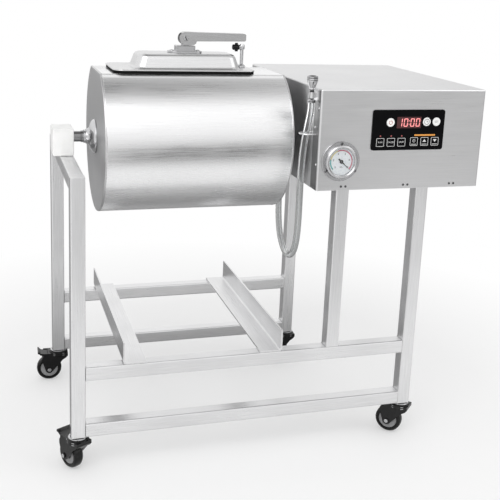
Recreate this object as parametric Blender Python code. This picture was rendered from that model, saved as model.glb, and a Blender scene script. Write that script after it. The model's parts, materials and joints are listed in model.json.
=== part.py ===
"""Meat vacuum tumbler: a drum with a clamped lid on a rolling frame, driven from a control box.

Metres, +Z up, +X towards the control box, -Y towards the operator. The origin is on the floor
under the middle of the machine.
"""

import math

import bmesh
import bpy
from mathutils import Matrix, Vector

# Overall sizes
MACHINE_LENGTH = 0.750
MACHINE_DEPTH = 0.410
CLEARANCE = 0.0003

# Frame of square tube
TUBE = 0.024
TUBE_WALL = 0.0015
TUBE_CORNER = 0.0022
FRAME_LENGTH = 0.624
FRAME_DEPTH = 0.3895
POSTS_SETBACK = 0.0320
POST_FOOT = 0.066
LEFT_POST_LENGTH = 0.448
UPPER_RAIL_HEIGHT = 0.168
MIDDLE_POST_OFFSET = 0.449
BACK_RIGHT_POST_OFFSET = 0.496

# Angle rails for the meat tray
ANGLE_WIDTH = 0.040
ANGLE_HEIGHT = 0.039
ANGLE_WALL = 0.003
LEFT_ANGLE_OFFSET = 0.086
RIGHT_ANGLE_OFFSET = 0.326

# Drum
DRUM_RADIUS = 0.133
DRUM_FLAT_HEIGHT = 0.118
DRUM_LENGTH = 0.328
DRUM_SETBACK = 0.0635
DRUM_WALL = 0.0015
HEAD_THICKNESS = 0.003
SHAFT_RISE = 0.030
DRUM_SEGMENTS = 56
RIB_HEIGHT = 0.018
RIB_THICKNESS = 0.004
MOUTH_LENGTH = 0.210
MOUTH_DEPTH = 0.086
MOUTH_CORNER = 0.020

# Left bearing
SHAFT_RADIUS = 0.009
BLOCK_LENGTH = 0.036
BLOCK_OVERHANG = 0.012
BLOCK_DEPTH = 0.054
BLOCK_TOP_MARGIN = 0.018
BLOCK_BLIND_WALL = 0.005
HUB_RADIUS = 0.030

# Lid
LID_LENGTH = 0.252
LID_DEPTH = 0.119
LID_CORNER = 0.016
LID_LEFT_MARGIN = 0.024
LID_SHEET = 0.002
LID_RISE = 0.027
DOME_LEFT_MARGIN = 0.040
DOME_RIGHT_MARGIN = 0.023
DOME_DEPTH = 0.082
DOME_TAPER = 0.009
DOME_CORNER = 0.018
GASKET_THICKNESS = 0.004
GASKET_INSET = 0.001

# Clamp on the lid
CLAMP_BASE_LENGTH = 0.062
CLAMP_BASE_DEPTH = 0.030
CLAMP_BASE_THICKNESS = 0.003
CLAMP_BLOCK_LENGTH = 0.034
CLAMP_BLOCK_DEPTH = 0.022
CLAMP_BLOCK_HEIGHT = 0.0096
PIVOT_RISE = 0.0125
EAR_THICKNESS = 0.0085
EAR_RADIUS = 0.0062
PIN_RADIUS = 0.003
LEVER_END_RADIUS = 0.0114
LEVER_LENGTH = 0.1111
LEVER_WIDTH = 0.017
LEVER_WALL = 0.002

# Vent valve on the lid
VALVE_MARGIN = 0.0112
VALVE_STEM_RADIUS = 0.003
VALVE_RISE = 0.036
VALVE_BARREL_RADIUS = 0.0045
VALVE_BARREL_LENGTH = 0.0065
WING_SPAN = 0.0078
WING_THICKNESS = 0.006
WING_HUB_RADIUS = 0.005
WING_HUB_LENGTH = 0.011

# Control box
BOX_LENGTH = 0.308
BOX_HEIGHT = 0.173
BOX_BOTTOM = 0.482
BOX_PROUD = 0.004
BOX_BACK_PROUD = 0.0015
BOX_SHEET = 0.0015
BOX_EDGE = 0.0025
BASE_SHEET = 0.002
BASE_LIP = 0.014
DRIVE_HOLE_RADIUS = 0.018
VENT_SLOTS = 8
VENT_LENGTH = 0.060
VENT_WIDTH = 0.004
VENT_PITCH = 0.010

# Control panel and its keys
PANEL_LEFT_MARGIN = 0.095
PANEL_TOP_MARGIN = 0.0345
PANEL_LENGTH = 0.136
PANEL_HEIGHT = 0.070
PANEL_THICKNESS = 0.0012
PANEL_CORNER = 0.004
WINDOW_MARGIN = 0.004
KEY_PROUD = 0.0006
KEY_FLANGE = 0.0010
KEY_STEM_RADIUS = 0.003
KEY_TRAVEL = 0.0008
ROUND_KEY_RADIUS = 0.0074
SQUARE_KEY = 0.0155
SQUARE_KEY_CORNER = 0.0018
BOARD_SETBACK = 0.0135
BOARD_THICKNESS = 0.0016
BOARD_MARGIN = 0.003

# Vacuum gauge
GAUGE_OFFSET = 0.041
GAUGE_HEIGHT = 0.051
GAUGE_RADIUS = 0.0345
GAUGE_PROUD = 0.010
GAUGE_FLANGE = 0.0028
BEZEL_RADIUS = 0.0287
DIAL_RADIUS = 0.0236
DIAL_FLOOR = 0.0040
CAN_RADIUS = 0.0270
CAN_DEPTH = 0.024
NEEDLE_LENGTH = 0.0175
NEEDLE_TAIL = 0.0070
NEEDLE_BORE = 0.0014
NEEDLE_ANGLE = math.radians(-41)

# Drive and pump in the box
DRIVE_SHAFT_RADIUS = 0.010
GEARBOX_GAP = 0.030
GEARBOX_LENGTH = 0.070
GEARBOX_WIDTH = 0.100
GEARBOX_TOP = 0.062
MOTOR_RADIUS = 0.046
MOTOR_LENGTH = 0.135
SHAFT_ENGAGEMENT = 0.040
PUMP_LENGTH = 0.130
PUMP_WIDTH = 0.070
PUMP_HEIGHT = 0.085
PORT_POINT = (0.084, 0.040)
PORT_RADIUS = 0.0042
PORT_DROP = 0.010

# Mains inlet in the back of the box
INLET_LENGTH = 0.050
INLET_HEIGHT = 0.031
INLET_FLANGE = 0.0025
INLET_BODY = (0.0276, 0.0216)
INLET_CAVITY = (0.0240, 0.0180)
INLET_DEPTH = 0.018
INLET_FROM_RIGHT = 0.050
INLET_ABOVE_BOTTOM = 0.040

# Vacuum hose, its parked connector and its two holders
HOSE_RADIUS = 0.006
CONNECTOR_POINT = (0.0565, -0.1765)
CONNECTOR_FOOT = 0.630
CONNECTOR_LENGTH = 0.045
CUP_RADIUS = 0.0090
CUP_BORE = 0.0062
CUP_DEPTH = 0.011
NECK_RADIUS = 0.0036
CLIP_HEIGHT = 0.010
CLIP_RISE = 0.008
CLIP_WALL = 0.0014
RING_POINT = (0.0525, -0.1700)
RING_RADIUS = 0.0110
RING_HEIGHT = 0.577
WIRE_RADIUS = 0.0014
HOSE_STEP = 0.026

# Swivel casters
WHEEL_RADIUS = 0.025
WHEEL_WIDTH = 0.0185
WHEEL_CLEARANCE = 0.0025
TRAIL = 0.019
AXLE_RADIUS = 0.003
FORK_WIDTH = 0.0300
FORK_TOP = 0.0600
CAP_RADIUS = 0.0185
PLUG_HEIGHT = 0.028
PEDAL_PIVOT = (0.0262, 0.0572)
PEDAL_ROOT_WIDTH = 0.0236
PEDAL_TIP_WIDTH = 0.0290
PEDAL_REACH = 0.042
PEDAL_EAR_HOLE = 0.0018
PEDAL_PEG = 0.0015
CASTER_ANGLES = {"front_left": 118, "back_left": 178, "front_right": 136, "back_right": 180}

# Looks: colour, metallic value and roughness
STEEL = ((0.70, 0.71, 0.72), 1.0, 0.32)
MATT_STEEL = ((0.60, 0.61, 0.62), 1.0, 0.45)
CHROME = ((0.80, 0.80, 0.82), 1.0, 0.12)
WHITE_PLASTIC = ((0.90, 0.90, 0.89), 0.0, 0.45)
BLACK_PLASTIC = ((0.02, 0.02, 0.022), 0.0, 0.40)
TYRE_RUBBER = ((0.03, 0.03, 0.03), 0.0, 0.60)
GASKET_RUBBER = ((0.015, 0.015, 0.015), 0.0, 0.65)
CAST_ALUMINIUM = ((0.55, 0.56, 0.58), 1.0, 0.50)
BOARD_GREEN = ((0.02, 0.20, 0.08), 0.0, 0.50)
CLEAR_GLASS = ((0.95, 0.97, 0.98), 0.0, 0.05)
CLEAR_HOSE = ((0.85, 0.87, 0.88), 0.0, 0.15)
TOOL_LOOK = ((0.50, 0.50, 0.50), 0.0, 0.50)

# Places worked out from the sizes
LEFT_FACE = -MACHINE_LENGTH / 2 + POSTS_SETBACK
RIGHT_FACE = LEFT_FACE + FRAME_LENGTH
FRONT_FACE = -MACHINE_DEPTH / 2 + GAUGE_PROUD + BOX_PROUD
BACK_FACE = FRONT_FACE + FRAME_DEPTH
CROSS_TUBE_TOP = POST_FOOT + LEFT_POST_LENGTH
UPPER_RAIL_TOP = UPPER_RAIL_HEIGHT + TUBE
AXIS_Y = (FRONT_FACE + BACK_FACE) / 2
AXIS_Z = CROSS_TUBE_TOP + SHAFT_RISE
DRUM_LEFT = LEFT_FACE + DRUM_SETBACK
DRUM_RIGHT = DRUM_LEFT + DRUM_LENGTH
DRUM_MIDDLE = (DRUM_LEFT + DRUM_RIGHT) / 2
FLAT_Z = AXIS_Z + DRUM_FLAT_HEIGHT
LID_LEFT = DRUM_LEFT + LID_LEFT_MARGIN
LID_RIGHT = LID_LEFT + LID_LENGTH
LID_MIDDLE = (LID_LEFT + LID_RIGHT) / 2
LID_FOOT = FLAT_Z + GASKET_THICKNESS + 2 * CLEARANCE
LID_TOP = LID_FOOT + LID_RISE
DOME_LEFT = LID_LEFT + DOME_LEFT_MARGIN
DOME_RIGHT = LID_RIGHT - DOME_RIGHT_MARGIN
PIVOT_X = (DOME_LEFT + DOME_RIGHT) / 2
BLOCK_TOP_Z = LID_TOP + CLEARANCE + CLAMP_BASE_THICKNESS + CLAMP_BLOCK_HEIGHT
PIVOT_Z = BLOCK_TOP_Z + PIVOT_RISE
VALVE_X = LID_RIGHT - VALVE_MARGIN
VALVE_Z = LID_FOOT + LID_SHEET + VALVE_RISE
BOX_RIGHT = MACHINE_LENGTH / 2
BOX_LEFT = BOX_RIGHT - BOX_LENGTH
BOX_FRONT = FRONT_FACE - BOX_PROUD
BOX_BACK = BACK_FACE + BOX_BACK_PROUD
BOX_TOP = BOX_BOTTOM + BOX_HEIGHT
BASE_TOP = BOX_BOTTOM + BASE_SHEET
GAUGE_X = BOX_LEFT + GAUGE_OFFSET
GAUGE_Z = BOX_BOTTOM + GAUGE_HEIGHT
PANEL_LEFT = BOX_LEFT + PANEL_LEFT_MARGIN
PANEL_TOP = BOX_TOP - PANEL_TOP_MARGIN
PANEL_X = PANEL_LEFT + PANEL_LENGTH / 2
PANEL_Z = PANEL_TOP - PANEL_HEIGHT / 2
PANEL_BACK = BOX_FRONT - CLEARANCE
PANEL_FRONT = PANEL_BACK - PANEL_THICKNESS
GEARBOX_LEFT = BOX_LEFT + GEARBOX_GAP
AXLE_Z = WHEEL_RADIUS

# Keys on the panel: share of its length from the left, share of its height from the top
ROUND_KEYS = {"power_key": (0.246, 0.31), "light_key": (0.748, 0.30), "mode_key": (0.885, 0.30)}
SQUARE_KEYS = {
    "run_key": (0.119, 0.80),
    "pause_key": (0.266, 0.80),
    "stop_key": (0.413, 0.80),
    "timer_key": (0.587, 0.79),
    "up_key": (0.734, 0.79),
    "down_key": (0.881, 0.79),
}

# Route of the hose, from the barb under the box to the connector in its clip
HOSE_ROUTE = (
    (0.0840, 0.0400, 0.4580),
    (0.0832, 0.0385, 0.4330),
    (0.0812, 0.0325, 0.4050),
    (0.0784, 0.0205, 0.3770),
    (0.0750, 0.0000, 0.3520),
    (0.0716, -0.0290, 0.3350),
    (0.0684, -0.0620, 0.3290),
    (0.0654, -0.0930, 0.3370),
    (0.0622, -0.1180, 0.3560),
    (0.0590, -0.1360, 0.3850),
    (0.0556, -0.1480, 0.4220),
    (0.0525, -0.1560, 0.4640),
    (0.0505, -0.1615, 0.5080),
    (0.0505, -0.1655, 0.5450),
    (0.0525, -0.1700, 0.5780),
    (0.0552, -0.1745, 0.6010),
    (0.0565, -0.1765, 0.6180),
)


def own_material(name, look):
    """A piece's own material, from a look's colour, metallic value and roughness."""
    colour, metallic, roughness = look
    material = bpy.data.materials.new(name)
    material.use_nodes = True
    shader = material.node_tree.nodes["Principled BSDF"]
    shader.inputs["Base Color"].default_value = (*colour, 1.0)
    shader.inputs["Metallic"].default_value = metallic
    shader.inputs["Roughness"].default_value = roughness
    return material


def pivot(name, at, turn=0.0, parent=None):
    """An empty on a joint's axis, which carries the pieces that move about it."""
    empty = bpy.data.objects.new(name, None)
    bpy.context.scene.collection.objects.link(empty)
    empty.parent = parent
    empty.location = at
    empty.rotation_euler = (0.0, 0.0, turn)
    return empty


def piece(name, shape, look, at=(0.0, 0.0, 0.0), parent=None):
    """One sub-part from a bmesh, smooth where it is round."""
    bmesh.ops.recalc_face_normals(shape, faces=shape.faces[:])
    mesh = bpy.data.meshes.new(name)
    shape.to_mesh(mesh)
    shape.free()
    mesh.materials.append(own_material(name, look))
    mesh.shade_smooth()
    mesh.set_sharp_from_angle(angle=math.radians(35))
    made = bpy.data.objects.new(name, mesh)
    bpy.context.scene.collection.objects.link(made)
    made.parent = parent
    made.location = at
    return made


def combine(target, shape, operation):
    """Add or take away a shape that is given in the target's own frame."""
    count = len(target.modifiers)
    tool = piece(f"{target.name}_tool_{count}", shape, TOOL_LOOK, target.location, target.parent)
    tool.rotation_euler = target.rotation_euler
    tool.hide_render = True
    tool.display_type = "WIRE"
    step = target.modifiers.new(f"{operation.lower()}_{count}", "BOOLEAN")
    step.operation = operation
    step.solver = "EXACT"
    step.object = tool


def cut(target, shape):
    """Take a shape out of a piece."""
    combine(target, shape, "DIFFERENCE")


def join(target, shape):
    """Weld a shape to a piece."""
    combine(target, shape, "UNION")


def arc(centre, radius, start, end, steps):
    """Points along an arc, angles in degrees, both ends included."""
    angles = [math.radians(start + (end - start) * i / steps) for i in range(steps + 1)]
    return [(centre[0] + radius * math.cos(a), centre[1] + radius * math.sin(a)) for a in angles]


def rounded_outline(length, depth, corner, steps=4, middle=(0.0, 0.0)):
    """A rectangle with round corners, anticlockwise."""
    x = length / 2 - corner
    y = depth / 2 - corner
    points = []
    for quarter, (sx, sy) in enumerate(((1, 1), (-1, 1), (-1, -1), (1, -1))):
        centre = (middle[0] + sx * x, middle[1] + sy * y)
        points += arc(centre, corner, 90 * quarter, 90 * quarter + 90, steps)
    return points


def circle(radius, steps=24, middle=(0.0, 0.0)):
    """Points round a full circle."""
    return arc(middle, radius, 0, 360 - 360 / steps, steps - 1)


def lifted(point, height, axis):
    """A point of a flat outline, set at a height along an axis."""
    u, v = point
    if axis == "X":
        return Vector((height, u, v))
    if axis == "Y":
        return Vector((u, height, v))
    return Vector((u, v, height))


def prism(outline, low, high, axis="Z", holes=()):
    """An outline with holes, pushed along an axis from low to high."""
    shape = bmesh.new()
    edges = []
    for ring in (outline, *holes):
        verts = [shape.verts.new(lifted(point, low, axis)) for point in ring]
        edges += [shape.edges.new((verts[i - 1], verts[i])) for i in range(len(verts))]
    bmesh.ops.triangle_fill(shape, use_beauty=True, edges=edges)
    pushed = bmesh.ops.extrude_face_region(shape, geom=shape.faces[:])["geom"]
    verts = [item for item in pushed if isinstance(item, bmesh.types.BMVert)]
    bmesh.ops.translate(shape, vec=lifted((0.0, 0.0), high - low, axis), verts=verts)
    bmesh.ops.recalc_face_normals(shape, faces=shape.faces[:])
    return shape


def block(low, high, bevel=0.0, segments=2):
    """A box between two corners, with softened edges."""
    shape = bmesh.new()
    bmesh.ops.create_cube(shape, size=1.0)
    low = Vector(low)
    high = Vector(high)
    middle = (low + high) / 2
    size = high - low
    bmesh.ops.transform(shape, matrix=Matrix.Translation(middle) @ Matrix.Diagonal((*size, 1.0)),
                        verts=shape.verts[:])
    if bevel:
        bmesh.ops.bevel(shape, geom=shape.edges[:], offset=bevel, segments=segments, profile=0.5,
                        affect="EDGES")
    return shape


def turned(profile, steps=32, along="Z", middle=(0.0, 0.0, 0.0), closed=False):
    """A profile of (radius, height) points spun round an axis through a point."""
    shape = bmesh.new()
    verts = [shape.verts.new((radius, 0.0, height)) for radius, height in profile]
    edges = [shape.edges.new(pair) for pair in zip(verts, verts[1:])]
    if closed:
        edges.append(shape.edges.new((verts[-1], verts[0])))
    bmesh.ops.spin(shape, geom=verts + edges, cent=(0, 0, 0), axis=(0, 0, 1), angle=math.tau,
                   steps=steps, use_duplicate=False)
    bmesh.ops.remove_doubles(shape, verts=shape.verts[:], dist=0.000002)
    directions = {"Z": (0, 0, 1), "X": (1, 0, 0), "-X": (-1, 0, 0), "Y": (0, 1, 0), "-Y": (0, -1, 0)}
    turn = Vector((0, 0, 1)).rotation_difference(Vector(directions[along])).to_matrix().to_4x4()
    bmesh.ops.transform(shape, matrix=Matrix.Translation(middle) @ turn, verts=shape.verts[:])
    bmesh.ops.recalc_face_normals(shape, faces=shape.faces[:])
    return shape


def merged(*shapes):
    """Several separate shapes as one, for cutting or welding in one go."""
    whole = bmesh.new()
    for shape in shapes:
        mesh = bpy.data.meshes.new("passing")
        shape.to_mesh(mesh)
        shape.free()
        whole.from_mesh(mesh)
        bpy.data.meshes.remove(mesh)
    return whole


def loft(rings):
    """A closed skin through rings of as many points each, capped at both ends."""
    shape = bmesh.new()
    rows = [[shape.verts.new(point) for point in ring] for ring in rings]
    shape.faces.new(rows[0])
    shape.faces.new(rows[-1])
    for lower, upper in zip(rows, rows[1:]):
        for i in range(len(lower)):
            shape.faces.new((lower[i - 1], lower[i], upper[i], upper[i - 1]))
    bmesh.ops.recalc_face_normals(shape, faces=shape.faces[:])
    return shape


def wire(name, points, radius, look, resolution=2):
    """A round bar or tube along a list of points, with closed ends."""
    curve = bpy.data.curves.new(name, "CURVE")
    curve.dimensions = "3D"
    curve.bevel_depth = radius
    curve.bevel_resolution = resolution
    curve.use_fill_caps = True
    spline = curve.splines.new("POLY")
    spline.points.add(len(points) - 1)
    for target, point in zip(spline.points, points):
        target.co = (*point, 1.0)
    curve.materials.append(own_material(name, look))
    made = bpy.data.objects.new(name, curve)
    bpy.context.scene.collection.objects.link(made)
    return made


def smooth_route(points, step):
    """Points a step apart on a smooth curve through the given ones."""
    knots = [Vector(point) for point in points]
    ends = [2 * knots[0] - knots[1], *knots, 2 * knots[-1] - knots[-2]]
    dense = []
    for before, start, end, after in zip(ends, ends[1:], ends[2:], ends[3:]):
        for i in range(40):
            t = i / 40
            dense.append(0.5 * (2 * start + (end - before) * t
                                + (2 * before - 5 * start + 4 * end - after) * t * t
                                + (3 * start - before - 3 * end + after) * t ** 3))
    dense.append(knots[-1])
    length = sum((b - a).length for a, b in zip(dense, dense[1:]))
    count = max(2, round(length / step))
    route = [dense[0]]
    walked = 0.0
    for a, b in zip(dense, dense[1:]):
        walked += (b - a).length
        if walked >= length * len(route) / count and len(route) < count:
            route.append(b)
    return [*route, dense[-1]]


def tube_shape(low, high, axis, closed_end=False):
    """Square tube between two corners, hollow along an axis, with an end plate if asked."""
    lengths = {"X": 0, "Y": 1, "Z": 2}
    along = lengths[axis]
    across = [i for i in range(3) if i != along]
    middle = [(low[i] + high[i]) / 2 for i in across]
    outer = rounded_outline(TUBE, TUBE, TUBE_CORNER, 2, middle)
    inner = rounded_outline(TUBE - 2 * TUBE_WALL, TUBE - 2 * TUBE_WALL, TUBE_WALL, 2, middle)
    if not closed_end:
        return prism(outer, low[along], high[along], axis, [inner])
    rings = [
        [lifted(point, high[along] - TUBE_WALL, axis) for point in inner],
        [lifted(point, low[along], axis) for point in inner],
        [lifted(point, low[along], axis) for point in outer],
        [lifted(point, high[along], axis) for point in outer],
    ]
    return loft(rings)


def post(name, left, front, foot, top, look):
    """An upright tube, open below and closed on top."""
    return piece(name, tube_shape((left, front, foot), (left + TUBE, front + TUBE, top), "Z", True),
                 look)


def rail(name, left, right, front, bottom, look):
    """A level tube along the machine, between two posts."""
    low = (left + CLEARANCE, front, bottom)
    high = (right - CLEARANCE, front + TUBE, bottom + TUBE)
    return piece(name, tube_shape(low, high, "X"), look)


def angle_rail(name, left, flange_at_left, look):
    """A folded angle across the two upper rails, with its upright on one side."""
    sign = 1 if flange_at_left else -1
    corner = left if flange_at_left else left + ANGLE_WIDTH
    bottom = UPPER_RAIL_TOP + CLEARANCE
    inside = (corner + sign * ANGLE_WALL * 2, bottom + ANGLE_WALL * 2)
    outline = [
        (corner + sign * ANGLE_WIDTH, bottom),
        (corner + sign * ANGLE_WIDTH, bottom + ANGLE_WALL),
        *[(inside[0] - sign * ANGLE_WALL * math.sin(t), inside[1] - ANGLE_WALL * math.cos(t))
          for t in (0.0, math.pi / 4, math.pi / 2)],
        (corner + sign * ANGLE_WALL, bottom + ANGLE_HEIGHT),
        (corner, bottom + ANGLE_HEIGHT),
        *[(inside[0] - sign * 2 * ANGLE_WALL * math.cos(t), inside[1] - 2 * ANGLE_WALL * math.sin(t))
          for t in (0.0, math.pi / 6, math.pi / 3, math.pi / 2)],
    ]
    return piece(name, prism(outline, FRONT_FACE, BACK_FACE, "Y"), look)


def build_frame(steel):
    """Posts, rails, the left cross tube and the two angle rails for the tray."""
    back = BACK_FACE - TUBE
    right_post = RIGHT_FACE - TUBE
    middle_post = LEFT_FACE + MIDDLE_POST_OFFSET
    back_right = LEFT_FACE + BACK_RIGHT_POST_OFFSET
    under_box = BOX_BOTTOM - CLEARANCE
    post("front_left_post", LEFT_FACE, FRONT_FACE, POST_FOOT, CROSS_TUBE_TOP, steel)
    post("back_left_post", LEFT_FACE, back, POST_FOOT, CROSS_TUBE_TOP, steel)
    post("front_right_post", right_post, FRONT_FACE, POST_FOOT, under_box, steel)
    post("front_middle_post", middle_post, FRONT_FACE, UPPER_RAIL_TOP + CLEARANCE, under_box, steel)
    post("back_right_post", back_right, back, POST_FOOT, under_box, steel)
    low = (LEFT_FACE, FRONT_FACE + TUBE + CLEARANCE, CROSS_TUBE_TOP - TUBE)
    high = (LEFT_FACE + TUBE, back - CLEARANCE, CROSS_TUBE_TOP)
    piece("left_cross_tube", tube_shape(low, high, "Y"), steel)
    inner = LEFT_FACE + TUBE
    rail("front_lower_rail", inner, right_post, FRONT_FACE, POST_FOOT, steel)
    rail("front_upper_rail", inner, right_post, FRONT_FACE, UPPER_RAIL_HEIGHT, steel)
    rail("back_lower_rail", inner, back_right, back, POST_FOOT, steel)
    rail("back_upper_rail", inner, back_right, back, UPPER_RAIL_HEIGHT, steel)
    angle_rail("left_angle_rail", LEFT_FACE + LEFT_ANGLE_OFFSET, True, steel)
    angle_rail("right_angle_rail", LEFT_FACE + RIGHT_ANGLE_OFFSET, False, steel)


def build_bearing_block(plastic):
    """The white block on the cross tube, with a blind bore for the drum's left shaft."""
    left = LEFT_FACE - BLOCK_OVERHANG
    low = (left, AXIS_Y - BLOCK_DEPTH / 2, CROSS_TUBE_TOP + CLEARANCE)
    high = (left + BLOCK_LENGTH, AXIS_Y + BLOCK_DEPTH / 2, AXIS_Z + BLOCK_TOP_MARGIN)
    made = piece("bearing_block", block(low, high, 0.0022, 2), plastic)
    bore = SHAFT_RADIUS + CLEARANCE
    depth = BLOCK_LENGTH - BLOCK_BLIND_WALL
    mouth = left + BLOCK_LENGTH
    cut(made, turned([(0, -depth), (bore, -depth), (bore, 0.002), (0, 0.002)], 24, "X",
                     (mouth, AXIS_Y, AXIS_Z)))
    return made


def drum_outline(inset=0.0):
    """The drum's section in Y and Z about its axis: round, with a flat on top."""
    radius = DRUM_RADIUS - inset
    half = math.degrees(math.acos((DRUM_FLAT_HEIGHT - inset) / radius))
    return arc((0.0, 0.0), radius, 90 + half, 450 - half, DRUM_SEGMENTS)


def ribbed_outline():
    """The inside of the shell, with three welded ribs that lift and turn the meat."""
    radius = DRUM_RADIUS - DRUM_WALL
    half = math.degrees(math.acos((DRUM_FLAT_HEIGHT - DRUM_WALL) / radius))
    spread = math.degrees(math.asin(RIB_THICKNESS / 2 / radius))
    points = []
    start = 90 + half
    steps = DRUM_SEGMENTS // 4
    for middle in (180, 270, 360):
        points += arc((0.0, 0.0), radius, start, middle - spread, steps)
        along = Vector((math.cos(math.radians(middle)), math.sin(math.radians(middle))))
        aside = Vector((-along.y, along.x)) * (RIB_THICKNESS / 2)
        crest = along * (radius - RIB_HEIGHT)
        points += [tuple(crest - aside), tuple(crest + aside)]
        start = middle + spread
    return points + arc((0.0, 0.0), radius, start, 450 - half, steps)


def build_drum(steel, matt_steel, chrome, axis):
    """Shell with its mouth, the two heads, the left hub and shaft, and the driven hub."""
    inner_left = DRUM_LEFT + HEAD_THICKNESS + CLEARANCE - DRUM_MIDDLE
    inner_right = DRUM_RIGHT - HEAD_THICKNESS - CLEARANCE - DRUM_MIDDLE
    shell = piece("drum_shell", prism(drum_outline(), inner_left, inner_right, "X",
                                      [ribbed_outline()]), steel, parent=axis)
    mouth = rounded_outline(MOUTH_LENGTH, MOUTH_DEPTH, MOUTH_CORNER, 5, (LID_MIDDLE - DRUM_MIDDLE, 0))
    cut(shell, prism(mouth, DRUM_FLAT_HEIGHT - 0.010, DRUM_FLAT_HEIGHT + 0.004))

    for name, outside, inside in (("drum_left_head", DRUM_LEFT, 1), ("drum_right_head", DRUM_RIGHT, -1)):
        face = outside - DRUM_MIDDLE
        rings = [
            [lifted(point, face + inside * HEAD_THICKNESS, "X") for point in drum_outline()],
            [lifted(point, face + inside * 0.0012, "X") for point in drum_outline()],
            [lifted(point, face + inside * 0.0003, "X") for point in drum_outline(0.0005)],
            [lifted(point, face, "X") for point in drum_outline(0.0014)],
        ]
        piece(name, loft(rings), matt_steel, parent=axis)

    block_mouth = LEFT_FACE - BLOCK_OVERHANG + BLOCK_LENGTH
    reach = DRUM_LEFT - block_mouth + BLOCK_LENGTH - BLOCK_BLIND_WALL - CLEARANCE
    left_hub = [
        (0, CLEARANCE), (HUB_RADIUS, CLEARANCE), (HUB_RADIUS, 0.0020), (0.0245, 0.0042),
        (0.0175, 0.0082), (0.0138, 0.0140), (0.0128, 0.0168), (0.0116, 0.0172), (0.0116, 0.0205),
        (SHAFT_RADIUS, 0.0208), (SHAFT_RADIUS, reach - 0.001), (SHAFT_RADIUS - 0.001, reach), (0, reach),
    ]
    piece("drum_left_hub", turned(left_hub, 24, "-X", (DRUM_LEFT - DRUM_MIDDLE, 0, 0)), chrome,
          parent=axis)

    reach = GEARBOX_LEFT - DRUM_RIGHT + SHAFT_ENGAGEMENT
    drive_hub = [
        (0, CLEARANCE), (HUB_RADIUS, CLEARANCE), (HUB_RADIUS, 0.0030), (0.0160, 0.0060),
        (0.0160, 0.0140), (0.0145, 0.0155), (DRIVE_SHAFT_RADIUS, 0.0155),
        (DRIVE_SHAFT_RADIUS, reach - 0.001), (DRIVE_SHAFT_RADIUS - 0.001, reach), (0, reach),
    ]
    piece("drum_drive_hub", turned(drive_hub, 24, "X", (DRUM_RIGHT - DRUM_MIDDLE, 0, 0)), chrome,
          parent=axis)


def lid_ring(left, right, depth, corner, height):
    """One level of the pressed lid, as a round-cornered ring about the lid's middle."""
    outline = rounded_outline(right - left, depth, corner, 5, ((left + right) / 2 - LID_MIDDLE, 0.0))
    return [lifted(point, height, "Z") for point in outline]


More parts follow.
